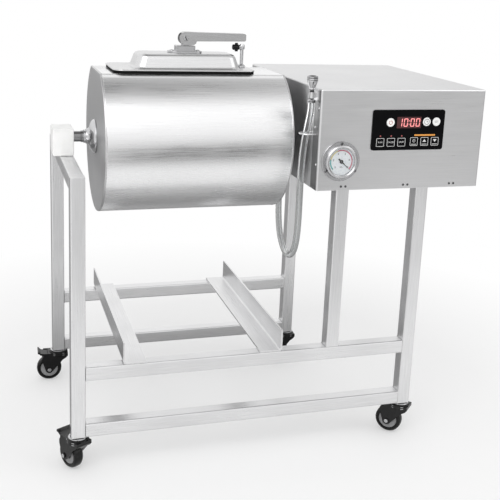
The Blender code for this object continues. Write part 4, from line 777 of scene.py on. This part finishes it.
class TUMBLER_OT_stage(bpy.types.Operator):
    """Set up the camera, the lamps, the white surroundings and the floor."""

    bl_idname = "tumbler.stage"
    bl_label = "Stage and camera"

    def execute(self, context):
        stage = context.scene.tumbler_stage
        context.scene.view_settings.view_transform = "Standard"
        self.place_camera(context.scene, stage)
        self.hang_lamp("key_lamp", (-1.5, -2.3, 2.7), 2.6, stage.key_power)
        self.hang_lamp("fill_lamp", (2.4, -1.6, 1.9), 2.2, stage.fill_power)
        self.light_room(context.scene, stage.room)
        self.lay_floor()
        return {"FINISHED"}

    def place_camera(self, scene, stage):
        """A camera from its place, yaw, pitch and roll."""
        lens = fitted(bpy.data.cameras.new("camera"), lens=stage.lens, sensor_width=36.0,
                      shift_y=stage.rise, clip_end=60.0)
        scene.camera = placed("camera", lens)
        scene.camera.matrix_world = (Matrix.Translation(stage.camera_place)
                                     @ Matrix.Rotation(-stage.yaw, 4, "Z")
                                     @ Matrix.Rotation(math.pi / 2 - stage.pitch, 4, "X")
                                     @ Matrix.Rotation(stage.roll, 4, "Z"))

    def hang_lamp(self, name, place, size, power):
        """A large square lamp that faces the machine."""
        lamp = fitted(bpy.data.lights.new(name, "AREA"), shape="SQUARE", size=size, energy=power)
        turn = (LAMP_AIM - Vector(place)).to_track_quat("-Z", "Y").to_euler()
        fitted(placed(name, lamp), location=place, rotation_euler=turn)

    def light_room(self, scene, strength):
        """Even light, with a white surround for what the camera, metal and glass see."""
        scene.world = bpy.data.worlds.new("room")
        scene.world.use_nodes = True
        room = Nodes(scene.world.node_tree)
        room.tree.nodes.clear()
        rays = room.add("ShaderNodeLightPath").outputs
        place = room.add("ShaderNodeTexCoord").outputs["Generated"]
        way = room.add("ShaderNodeSeparateXYZ", {0: place}).outputs
        ramp = room.add("ShaderNodeValToRGB", {0: room.spread(way["Z"], 0.0, 1.0, -1.0, 1.0)})
        while len(ramp.color_ramp.elements) < len(ROOM_TONES):
            ramp.color_ramp.elements.new(0.5)
        for element, (position, tone) in zip(ramp.color_ramp.elements, ROOM_TONES):
            element.position = position
            element.color = (tone, tone, tone, 1.0)
        to_right = room.spread(way["X"], 1.06, 0.60, 0.40, 0.80)
        even, mirrored, white = (
            room.add("ShaderNodeBackground", {"Color": colour, "Strength": power}).outputs[0]
            for colour, power in ((WHITE, strength), (ramp.outputs["Color"], to_right),
                                  (WHITE, 1.0)))
        either = room.most(rays["Is Glossy Ray"], rays["Is Transmission Ray"])
        seen = room.choice(rays["Is Camera Ray"], room.choice(either, even, mirrored), white)
        room.add("ShaderNodeOutputWorld", {"Surface": seen})

    def lay_floor(self):
        """A pale floor that keeps the machine's shadow, painted darker in places for what metal mirrors: painted
        shade in reflections.
        """
        finish = Finish("floor_paint", roughness=0.7, specular_ior_level=0.2)
        rays = finish.add("ShaderNodeLightPath").outputs
        mirrored = finish.most(self.painted_reflection_shade(finish),
                               finish.maths("SUBTRACT", 1.0, rays["Is Glossy Ray"]))
        paint = finish.tones(finish.noise(1.2, 2.0, 0.5), shade(WHITE, 0.95), shade(WHITE, 0.97))
        # For glossy rays the floor's colour is darkened by place: painted shade in reflections
        finish.set(base_color=finish.blend(mirrored, BLACK, paint))
        away = finish.add("ShaderNodeVectorMath", {0: finish.place}, operation="LENGTH")
        far = finish.spread(away.outputs["Value"], 0.35, 1.0, 0.55, 1.10)
        seen = finish.most(rays["Is Camera Ray"], rays["Is Glossy Ray"],
                           rays["Is Transmission Ray"])
        # The glow that metal sees is darkened by the same painted shade
        glow = finish.add("ShaderNodeEmission", {"Strength": mirrored})
        both = finish.choice(finish.maths("MULTIPLY", far, seen), finish.shader.outputs[0],
                             glow.outputs[0])
        finish.feed(finish.tree.nodes["Material Output"].inputs["Surface"], both)
        mesh = mesh_of(prism(circle(9.0, 64), -0.02, -0.0002), "floor")
        coat(mesh, finish.material)
        placed("floor", mesh)

    def painted_reflection_shade(self, finish):
        """How light each part of the floor is painted for metal to mirror, from its place: painted shade in
        reflections.
        """
        tones = []
        for x, y, *stretch in FLOOR_PAINTED_SHADE:
            along = finish.add("ShaderNodeVectorMath", {0: finish.place, 1: (x, y, 0.0)},
                               operation="DOT_PRODUCT").outputs["Value"]
            tones.append(finish.spread(along, *stretch))
        behind, right, *ahead = tones
        return finish.maths("MULTIPLY", finish.maths("MULTIPLY", behind, right),
                            finish.most(*ahead))


class TUMBLER_OT_hose(bpy.types.Operator):
    """Make the clear vacuum hose, and finish its connector, clip and ring."""

    bl_idname = "tumbler.hose"
    bl_label = "Vacuum hose"

    def execute(self, context):
        sizes, finishes = context.scene.tumbler_sizes, context.scene.tumbler_finishes
        knots = [Vector(HOSE_START), *smooth_route(HOSE_ROUTE, HOSE_STEP), Vector(HOSE_END)]
        path = smooth_route(knots, PIPE_STEP)
        hose = piece("hose_tube", pipe(path, sizes.hose / 2, sizes.hose_bore / 2),
                     clear("clear_hose", (0.96, 0.97, 0.97), 0.03), "hose_clear")
        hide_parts("vacuum_hose")
        connector = skin(["hose_connector"],
                         polished("connector_chrome", shade(finishes.chrome, 0.8), 0.12))
        skin(["hose_clip", "hose_ring"], brushed("clip_steel", finishes.steel, 0.26, "Z"))
        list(self.band(finishes))
        return {"FINISHED"}

    def band(self, finishes):
        """Dark bands of painted shadow where the grooves are, and bright grip rings round the connector."""
        middle = (*middle_of("hose_connector", "xy"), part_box("hose_connector")[1].z)
        shadow = printed("groove_shadow", (0.02, 0.02, 0.022))
        bright = polished("ring_chrome", shade(finishes.chrome, 1.3), 0.10)
        made = []
        for name, material, rings in (("connector_grooves", shadow, GRIP_GROOVE_SHADOWS),
                                      ("connector_rings", bright, GRIP_RINGS)):
            forms = [((radius - GRIP_DEPTH, start), (radius, start), (radius, end),
                      (radius - GRIP_DEPTH, end)) for radius, start, end in rings]
            shape = merged(*[turned(form, middle=middle) for form in forms])
            made.append(piece(name, shape, material, "connector_chrome"))
        return made


class TUMBLER_OT_frame(bpy.types.Operator):
    """Finish the frame's tubes, the tray rails and the bearing block."""

    bl_idname = "tumbler.frame"
    bl_label = "Frame"

    def execute(self, context):
        finishes = context.scene.tumbler_finishes
        for grain, nodes in FRAME_TUBES.items():
            dress(nodes, brushed(f"frame_steel_{grain.lower()}", shade(finishes.steel, 1.09), 0.30,
                                 grain, tone=0.09))
        skin(["bearing_block"], moulded("bearing_plastic", finishes.block, 0.42, 300.0, 1.02))
        weld = polished("weld_steel", shade(finishes.steel, 0.86), 0.38, 0.10)
        beads("frame_welds", self.joints(), context.scene.tumbler_sizes.bead, weld, "frame_steel")
        return {"FINISHED"}

    def joints(self):
        """Paths where each tube meets the next, and two short ones on each tray rail."""
        paths = []
        for tube in (*FRAME_TUBES["X"], "front_middle_post"):
            low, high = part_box(tube)
            levels = (low.z,) if tube == "front_middle_post" else (low.z, high.z)
            paths += [[(x, low.y + WELD_INSET, z), (x, high.y - WELD_INSET, z)]
                      for x in (low.x, high.x) for z in levels]
        low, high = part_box("left_cross_tube")
        for y in (low.y, high.y):
            paths.append([(low.x + WELD_INSET, y, low.z), (high.x - WELD_INSET, y, low.z)])
        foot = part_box("front_upper_rail")[1].z
        for rail in ("left_angle_rail", "right_angle_rail"):
            low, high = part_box(rail)
            for y in (low.y + 0.006, high.y - 0.018):
                for x in (low.x, high.x):
                    paths.append([(x, y, foot), (x, y + 0.012, foot)])
        return paths


class TUMBLER_OT_drum(bpy.types.Operator):
    """Finish the drum's shell, heads and hubs."""

    bl_idname = "tumbler.drum"
    bl_label = "Drum"

    def execute(self, context):
        finishes = context.scene.tumbler_finishes
        skin(["drum_shell"], brushed("drum_steel", finishes.polished, 0.27, "X", 700.0, 0.03))
        skin(["drum_left_head", "drum_right_head"],
             brushed("head_steel", finishes.matt, 0.38, "Z", 900.0, 0.04))
        skin(["drum_left_hub", "drum_drive_hub"], polished("hub_chrome", finishes.chrome, 0.14))
        self.fit_hub(finishes, context.scene.tumbler_sizes.shaft)
        self.weld_rims(finishes)
        return {"FINISHED"}

    def fit_hub(self, finishes, radius):
        """A thin sleeve on the left shaft, dark as painted reflection, and the dome that covers the hub's plate.
        """
        y, z = middle_of("drum_left_hub", "yz")
        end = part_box("drum_left_hub")[1].x
        start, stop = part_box("bearing_block")[1].x + 0.0006, end - 0.0212
        thin, thick = radius + 0.0003, radius + 0.0012
        sleeve = turned(((radius, start), (thin, start), (thin, stop - 0.0040),
                         (thick, stop - 0.0036), (thick, stop), (radius, stop)),
                        40, (1, 0, 0), (0, y, z))
        # The sleeve's dark chrome stands in for the polished shaft's dark reflections: painted reflection
        piece("drum_shaft_sleeve", sleeve,
              polished("shaft_steel", shade(finishes.chrome, 0.42), 0.10), "hub_chrome", "drum")
        dome = turned(HUB_DOME, 48, (-1, 0, 0), (end - 0.0003, y, z))
        piece("drum_hub_dome", dome, polished("dome_chrome", finishes.chrome, 0.12), "hub_chrome",
              "drum")

    def weld_rims(self, finishes):
        """A seam round each end of the shell, over its flat top."""
        low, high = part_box("drum_shell")
        middle = middle_of("drum_left_hub", "yz")
        radius = middle[1] - low.z
        half = math.degrees(math.acos((high.z - middle[1]) / radius))
        ring = arc(middle, radius - 0.0002, 90 + half, 450 - half, 120)
        rims = [[(x, y, z) for y, z in (*ring, ring[0])]
                for x in (low.x - 0.0001, high.x + 0.0001)]
        seam = polished("seam_steel", finishes.polished, 0.16)
        beads("drum_rim_welds", rims, 0.0007, seam, "drum_steel", "drum", 0.1)


class TUMBLER_OT_lid(bpy.types.Operator):
    """Finish the lid, its gasket, its clamp and its vent valve."""

    bl_idname = "tumbler.lid"
    bl_label = "Lid"

    def execute(self, context):
        finishes = context.scene.tumbler_finishes
        # The lid's edges are painted dark: painted shade
        skin(["lid"], brushed("lid_steel", shade(finishes.polished, 0.80), 0.25, "X", 700.0, 0.03,
                              0.25), sharp=50)
        skin(["lid_gasket"], moulded("gasket_rubber", finishes.tyre, 0.60, 700.0, 1.0, gloss=0.04))
        chrome = polished("clamp_chrome", finishes.chrome, 0.16)
        skin(["clamp_bracket", "clamp_pin", "valve_body"], chrome)
        # The lever's edges are painted darker: painted shade
        skin(["clamp_lever"], brushed("lever_steel", shade(finishes.steel, 0.80), 0.26, "X",
                                      edge_wear_and_light=0.4), "clamp_chrome")
        skin(["valve_knob"], moulded("valve_plastic", finishes.black, 0.35, gloss=0.3),
             "black_plastic")
        low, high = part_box("clamp_bracket")
        y, top = (low.y + high.y) / 2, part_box("lid")[1].z + 0.0033
        spots = [((x, y, top), (0, 0, 1)) for x in (low.x + 0.0075, high.x - 0.0075)]
        fasteners("clamp_screws", "screw", spots, 0.0040, chrome, "clamp_chrome", "lid_group")
        self.slot_pin()
        return {"FINISHED"}

    def slot_pin(self):
        """A slanting screwdriver slot on the front end of the clamp's pin, drawn as a dark block: painted shadow
        in the slot.
        """
        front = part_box("clamp_pin")[0].y
        middle = Vector(middle_of("clamp_pin"))
        slot = block((middle.x - 0.0036, front - 0.00025, middle.z - 0.0008),
                     (middle.x + 0.0036, front + 0.0002, middle.z + 0.0008))
        slant = Matrix.Rotation(math.radians(62), 4, "Y")
        moved(slot, Matrix.Translation(middle) @ slant @ Matrix.Translation(-middle))
        piece("clamp_pin_slot", slot, printed("slot_shadow", (0.02, 0.02, 0.02)), "clamp_chrome",
              "lid_group")


class TUMBLER_OT_box(bpy.types.Operator):
    """Finish the control box, its base, what is inside and the mains inlet."""

    bl_idname = "tumbler.box"
    bl_label = "Control box"

    def execute(self, context):
        finishes = context.scene.tumbler_finishes
        dress(["box_cover", "box_base"], brushed("box_steel", finishes.steel, 0.32, "X",
                                                 tone=0.035))
        dress(["power_inlet"], moulded("inlet_plastic", finishes.black, 0.45))
        dress(["gearmotor"], polished("motor_aluminium", shade(finishes.matt, 1.1), 0.48))
        dress(["vacuum_pump"], moulded("pump_paint", (0.05, 0.05, 0.055), 0.50))
        dress(["circuit_board"], moulded("board_green", (0.02, 0.17, 0.07), 0.45, 200.0))
        low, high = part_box("box_cover")
        # The flange strip is steel darkened to about a third: painted shade on the box's left side, next to the
        # drum
        strip = block((low.x - FLANGE, low.y + 0.0026, low.z + 0.001),
                      (low.x + 0.00005, low.y + 0.0285, high.z - 0.003))
        piece("box_flange", strip, brushed("flange_steel", shade(finishes.steel, 0.34), 0.34, "Z"),
              "box_steel")
        self.fix(context.scene.tumbler_sizes, finishes, low, high)
        return {"FINISHED"}

    def fix(self, sizes, finishes, low, high):
        """Screws and rivets that hold the cover, the flange, the inlet and the motor."""
        foot = low.z + 0.0065
        cover = []
        for share in (0.160, 0.540, 0.832):
            x = low.x + share * (high.x - low.x)
            cover += [((x + step, low.y, foot), (0, -1, 0)) for step in (-0.0042, 0.0042)]
            cover.append(((x, high.y, foot), (0, 1, 0)))
        for share in (0.2, 0.8):
            y = low.y + share * (high.y - low.y)
            cover += [((high.x, y, foot), (1, 0, 0)), ((low.x, y, foot), (-1, 0, 0))]
        x, z = middle_of("power_inlet", "xz")
        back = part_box("power_inlet")[1].y
        inlet = [((x + step, back, z), (0, 1, 0)) for step in (-0.0195, 0.0195)]
        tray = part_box("box_base")[0].z
        start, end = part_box("gearmotor")
        motor = [((start.x + 0.012 + 0.046 * i, y, tray), (0, 0, -1))
                 for i in (0, 1) for y in (start.y + 0.012, end.y - 0.012)]
        flange = [((low.x - proud, low.y + depth, low.z + rise), (-1, 0, 0)) for proud, depth, rise
                  in ((FLANGE, 0.0075, 0.140), (FLANGE, 0.0075, 0.044), (0.0, 0.021, 0.106))]
        steel = polished("screw_steel", shade(finishes.chrome, 0.25), 0.34, 0.12)
        # The rivets are painted darker at their edges: painted shade
        bright = polished("rivet_steel", shade(finishes.chrome, 1.4), 0.20, edge_wear_and_light=0.5)
        for name, kind, spots, radius, material in (
                ("box_screws", "screw", cover, sizes.screw, steel),
                ("flange_rivets", "rivet", flange, sizes.rivet, bright),
                ("inlet_screws", "screw", inlet, 0.0030, steel),
                ("motor_screws", "screw", motor, 0.0040, steel)):
            fasteners(name, kind, spots, radius, material, "box_steel")


class TUMBLER_OT_panel(bpy.types.Operator):
    """Finish the panel and its keys."""

    bl_idname = "tumbler.panel"
    bl_label = "Panel"

    def execute(self, context):
        finishes = context.scene.tumbler_finishes
        film = moulded("panel_film", finishes.film, 0.30, 400.0, 2.0, 0.00002, 0.05)
        dress(["control_panel", *WORD_KEYS, *SIGN_KEYS], film)
        skin(ROUND_KEYS, moulded("key_white", (0.85, 0.85, 0.84), 0.35, 400.0, 1.0, 0.00002))
        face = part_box("control_panel")[0].y
        self.show_display(finishes, face)
        self.print_panel(finishes, face)
        self.mark_round_keys()
        self.mark_square_keys()
        return {"FINISHED"}

    def at(self, across, down):
        """A place on the panel, from its shares of the panel's length and height."""
        low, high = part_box("control_panel")
        return low.x + across * (high.x - low.x), high.z - down * (high.z - low.z)

    def show_display(self, finishes, face):
        """The smoked window and its lit digits, 10:00."""
        x, z = self.at(0.501, 0.314)
        window = stamp(rounded_outline(0.0456, 0.0196, 0.0008, 2, (x, z)), face, 0.00035)
        smoked = moulded("display_window", (0.075, 0.030, 0.031), 0.12, 300.0, 1.4, 0.00001, 0.15)
        piece("display_window", window, smoked, "panel_black")
        front = face - 0.0003
        lamps = [stamp(circle(0.0008, 10, (x, z + rise)), front, LAMP)
                 for rise in (-0.0028, 0.0028)]
        for sign, place in (("1", -0.0166), ("0", -0.0062), ("0", 0.0062), ("0", 0.0166)):
            lamps += self.digit(sign, x + place, z, front)
        piece("display_digits", merged(*lamps), lit("digit_light", finishes.digits, 1.1),
              "panel_black")

    def digit(self, sign, x, z, front):
        """The lit bars of one seven-bar digit, leaning slightly to the right."""
        wide, tall, bar, lean = 0.0074, 0.0140, 0.0013, 0.06
        sides, levels = {"0": ((1, -1), (1, -1)), "1": ((1,), ())}[sign]
        bars = [(side * (wide - bar) / 2, half * tall / 4, bar, tall / 2 - bar * 0.7)
                for side in sides for half in (1, -1)]
        bars += [(0.0, level * (tall - bar) / 2, wide - 1.5 * bar, bar) for level in levels]
        outlines = [rounded_outline(length, height, bar * 0.3, 1, (u, v))
                    for u, v, length, height in bars]
        return [stamp([(x + a + lean * b, z + b) for a, b in outline], front, LAMP)
                for outline in outlines]

    def print_panel(self, finishes, face):
        """The bar over the timer keys, and the three lamps over the working keys."""
        piece("timer_bar", stroke(0.0395, 0.0027, self.at(0.735, 0.631), face, LAMP),
              printed("ink_amber", finishes.amber), "panel_black")
        lamps = [stamp(circle(0.0014, 14, self.at(across, 0.645)), face, 0.0004)
                 for across in (0.119, 0.266, 0.413)]
        piece("key_lamps", merged(*lamps), lit("lamp_light", (0.34, 0.08, 0.08), 0.12),
              "panel_black")

    def mark_round_keys(self):
        """A ring and stroke on the power key, a clock on the next and SET on the last."""
        red, grey = printed("ink_red", (0.42, 0.06, 0.05)), printed("ink_grey", (0.10, 0.10, 0.11))
        for key, ink in zip(ROUND_KEYS, (red, grey, grey)):
            face, (x, z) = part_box(key)[0].y, middle_of(key, "xz")
            if key == "power_key":
                shape = merged(sector(0.0028, 0.0036, 120, 420, (x, z), face),
                               stroke(0.0008, 0.0036, (x, z + 0.0024), face))
            elif key == "light_key":
                shape = merged(sector(0.0042, 0.0050, 0, 360, (x, z), face, 40),
                               stroke(0.0007, 0.0034, (x, z + 0.0014), face),
                               stroke(0.0026, 0.0007, (x + 0.0011, z), face))
            else:
                shape = words("SET", 0.0048, (x, z), face)
            piece(key.replace("_key", "_mark"), shape, ink, "key_white", f"{key}_body")

    def mark_square_keys(self):
        """A thin frame on each square key, with a word or a sign."""
        white = printed("ink_white", (0.72, 0.72, 0.71))
        for key in (*WORD_KEYS, *SIGN_KEYS):
            face, (x, z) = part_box(key)[0].y, middle_of(key, "xz")
            outer, inner = (rounded_outline(side, side, corner, 3, (x, z))
                            for side, corner in ((0.0146, 0.0014), (0.0132, 0.0007)))
            parts = [stamp(outer, face, holes=[inner])]
            if key in WORD_KEYS:
                parts.append(words(WORD_KEYS[key], 0.0040, (x, z), face))
            else:
                parts.append(stroke(0.0100, 0.0009, (x, z - 0.0046), face))
            if key == "timer_key":
                parts += [sector(0.0020, 0.0026, 0, 360, (x, z + 0.0014), face, 28),
                          stroke(0.0006, 0.0020, (x, z + 0.0022), face)]
            elif key in SIGN_KEYS:
                way = 1 if key == "up_key" else -1
                base, tip = z + 0.0016 - way * 0.0022, z + 0.0016 + way * 0.0026
                parts.append(stamp([(x - 0.0035, base), (x + 0.0035, base), (x, tip)], face))
            piece(f"{key}_mark", merged(*parts), white, "panel_black", f"{key}_body")


class TUMBLER_OT_gauge(bpy.types.Operator):
    """Finish the vacuum gauge."""

    bl_idname = "tumbler.gauge"
    bl_label = "Vacuum gauge"

    def execute(self, context):
        finishes = context.scene.tumbler_finishes
        # The gauge's case is painted dark at its edges: painted shade
        skin(["gauge_case"], polished("gauge_chrome", shade(finishes.chrome, 0.92), 0.24,
                                      edge_wear_and_light=0.15))
        skin(["gauge_needle"], printed("needle_black", (0.015, 0.015, 0.016), 0.5))
        skin(["gauge_glass"], clear("gauge_glass", WHITE, 0.0, 1.2))
        middle = middle_of("gauge_case", "xz")
        self.print_dial(middle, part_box("gauge_needle")[1].y + 0.0007,
                        context.scene.tumbler_sizes.ticks)
        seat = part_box("box_cover")[0].y - 0.0031
        spots = [((x, seat, z), (0, -1, 0))
                 for x, z in (point_at(middle, 0.0316, angle) for angle in (90, 212, 328))]
        steel = polished("gauge_screw_steel", shade(finishes.chrome, 0.35), 0.3)
        fasteners("gauge_screws", "screw", spots, 0.0026, steel, "gauge_chrome")
        return {"FINISHED"}

    def print_dial(self, middle, dial, ticks):
        """The white dial with its coloured bands, ticks and numbers."""
        plate = stamp(circle(0.0234, 48, middle), dial + LAMP, LAMP,
                      [circle(0.0028, 20, middle)])
        piece("gauge_dial", plate, printed("dial_paint", (0.91, 0.95, 1.0), 0.5), "gauge_chrome")
        for name, colour, start, end in (
                ("dial_red_band", (0.62, 0.14, 0.22), SCALE_ZERO - SCALE_SWEEP, 112),
                ("dial_yellow_band", (0.80, 0.68, 0.28), 112, 170),
                ("dial_green_band", (0.12, 0.52, 0.50), 170, SCALE_ZERO)):
            piece(name, sector(0.0186, 0.0204, start, end, middle, dial), printed(name, colour),
                  "gauge_chrome")
        ink = printed("dial_ink", (0.03, 0.03, 0.035))
        front = dial - LETTERING / 2
        for name, count, bar in (("dial_ticks", ticks, (0.0014, 0.00022, 0.0001)),
                                 ("dial_long_ticks", 6, (0.0030, 0.00040, 0.0001))):
            values = {"Count": count, "Radius": DIAL_EDGE - bar[0] / 2, "Bar": bar,
                      "Start": math.radians(SCALE_ZERO - SCALE_SWEEP),
                      "Sweep": math.radians(SCALE_SWEEP)}
            made = tick_layout().run(name, wire([(0, 0, 0)]), values, ink, "gauge_chrome")
            made.data.transform(standing(middle, front))
        signs = [words(str(2 * i), 0.0044,
                       point_at(middle, 0.0145, SCALE_ZERO - SCALE_SWEEP * i / 5), front)
                 for i in range(6)]
        signs.append(words("kPa", 0.0036, (middle[0], middle[1] - 0.0095), front))
        piece("dial_numbers", merged(*signs), ink, "gauge_chrome")


class TUMBLER_OT_casters(bpy.types.Operator):
    """Finish the four casters."""

    bl_idname = "tumbler.casters"
    bl_label = "Casters"

    def execute(self, context):
        finishes = context.scene.tumbler_finishes
        black = moulded("caster_black", shade(finishes.black, 0.6), 0.12, 500.0, 2.4, 0.00001, 0.42)
        rubber = moulded("caster_tyre", shade(finishes.tyre, 0.7), 0.22, 600.0, 2.0, 0.00001, 0.30)
        for corner in CORNERS:
            skin([f"{corner}_fork", f"{corner}_pedal"], black)
            skin([f"{corner}_wheel"], rubber)
            self.fit(corner, finishes, black)
        return {"FINISHED"}

    def fit(self, corner, finishes, black):
        """Race ring and slots, hub discs, axle nuts and the pedal's grip ribs on one caster."""
        race, axle, hinge = (JOINT_AT[f"{corner}_{joint}"]
                             for joint in ("swivel_turn", "wheel_roll", "brake_press"))
        foot = Vector((race.x, race.y, 0.0))
        ahead = Vector((axle.x - race.x, axle.y - race.y, 0.0)).normalized()
        side = Vector((-ahead.y, ahead.x, 0.0))
        turn = Matrix((ahead, side, (0, 0, 1))).transposed().to_4x4()
        slots = []
        for level in (0.0552, 0.0588):
            for middle in (48, 132, 228, 312):
                start, end = middle - 20, middle + 20
                outline = arc((0, 0), 0.0188, start, end, 8) + arc((0, 0), 0.0178, end, start, 8)
                slots.append(prism(outline, level, level + 0.0012))
        ribs = []
        for i in range(3):
            u, w = 0.0108 + 0.0011 * i, 0.0033 + 0.00135 * i
            ribs.append(block((u - 0.00025, -0.0112, w - 0.0004), (u + 0.00025, 0.0112, w + 0.0005),
                              0.0001))
        sides = [(tuple(way * side), tuple(axle)) for way in (-1, 1)]
        chrome = polished(f"{corner}_race_chrome", finishes.chrome, 0.14)
        grey = moulded(f"{corner}_hub_grey", (0.27, 0.27, 0.275), 0.34, 500.0, 1.3)
        for name, shape, material, slot, body in (
                ("race_ring", turned(RACE_RING, middle=foot), chrome, "clamp_chrome", "swivel"),
                ("race_slots", moved(merged(*slots), Matrix.Translation(foot) @ turn), chrome,
                 "clamp_chrome", "swivel"),
                ("hub_caps", merged(*[turned(form, 32, *place) for place in sides
                                      for form in (HUB_CAP, HUB_DISC)]),
                 grey, "caster_tyre", "roller"),
                ("axle_nuts", merged(*[turned(AXLE_NUT, 6, *place) for place in sides]), chrome,
                 "clamp_chrome", "swivel"),
                ("pedal_ribs", moved(merged(*ribs), Matrix.Translation(hinge) @ turn), black,
                 "caster_black", "brake")):
            piece(f"{corner}_{name}", shape, material, slot, f"{corner}_{body}")


OPERATORS = (TUMBLER_OT_stage, TUMBLER_OT_hose, TUMBLER_OT_frame, TUMBLER_OT_drum,
             TUMBLER_OT_lid, TUMBLER_OT_box, TUMBLER_OT_panel, TUMBLER_OT_gauge,
             TUMBLER_OT_casters)
GROUPS = {"tumbler_finishes": TumblerFinishes, "tumbler_sizes": TumblerSizes,
          "tumbler_stage": TumblerStage}


class TUMBLER_PT_parts(bpy.types.Panel):
    """The tumbler's operators and values in the sidebar."""

    bl_idname = "TUMBLER_PT_parts"
    bl_label = "Tumbler"
    bl_space_type = "VIEW_3D"
    bl_region_type = "UI"
    bl_category = "Tumbler"

    def draw(self, context):
        for operator in OPERATORS:
            self.layout.operator(operator.bl_idname)
        for name, group in GROUPS.items():
            box = self.layout.box()
            for value in group.__annotations__:
                box.prop(getattr(context.scene, name), value)


def register():
    """Make the groups, operators and panel known to Blender."""
    for name, group in GROUPS.items():
        bpy.utils.register_class(group)
        setattr(bpy.types.Scene, name, PointerProperty(type=group))
    for kind in (*OPERATORS, TUMBLER_PT_parts):
        bpy.utils.register_class(kind)


def unregister():
    """Take them away again."""
    for kind in (TUMBLER_PT_parts, *reversed(OPERATORS)):
        bpy.utils.unregister_class(kind)
    for name, group in GROUPS.items():
        delattr(bpy.types.Scene, name)
        bpy.utils.unregister_class(group)


def main():
    """Build everything in order."""
    register()
    for operator in OPERATORS:
        family, name = operator.bl_idname.split(".")
        getattr(getattr(bpy.ops, family), name)()


if __name__ == "__main__":
    main()
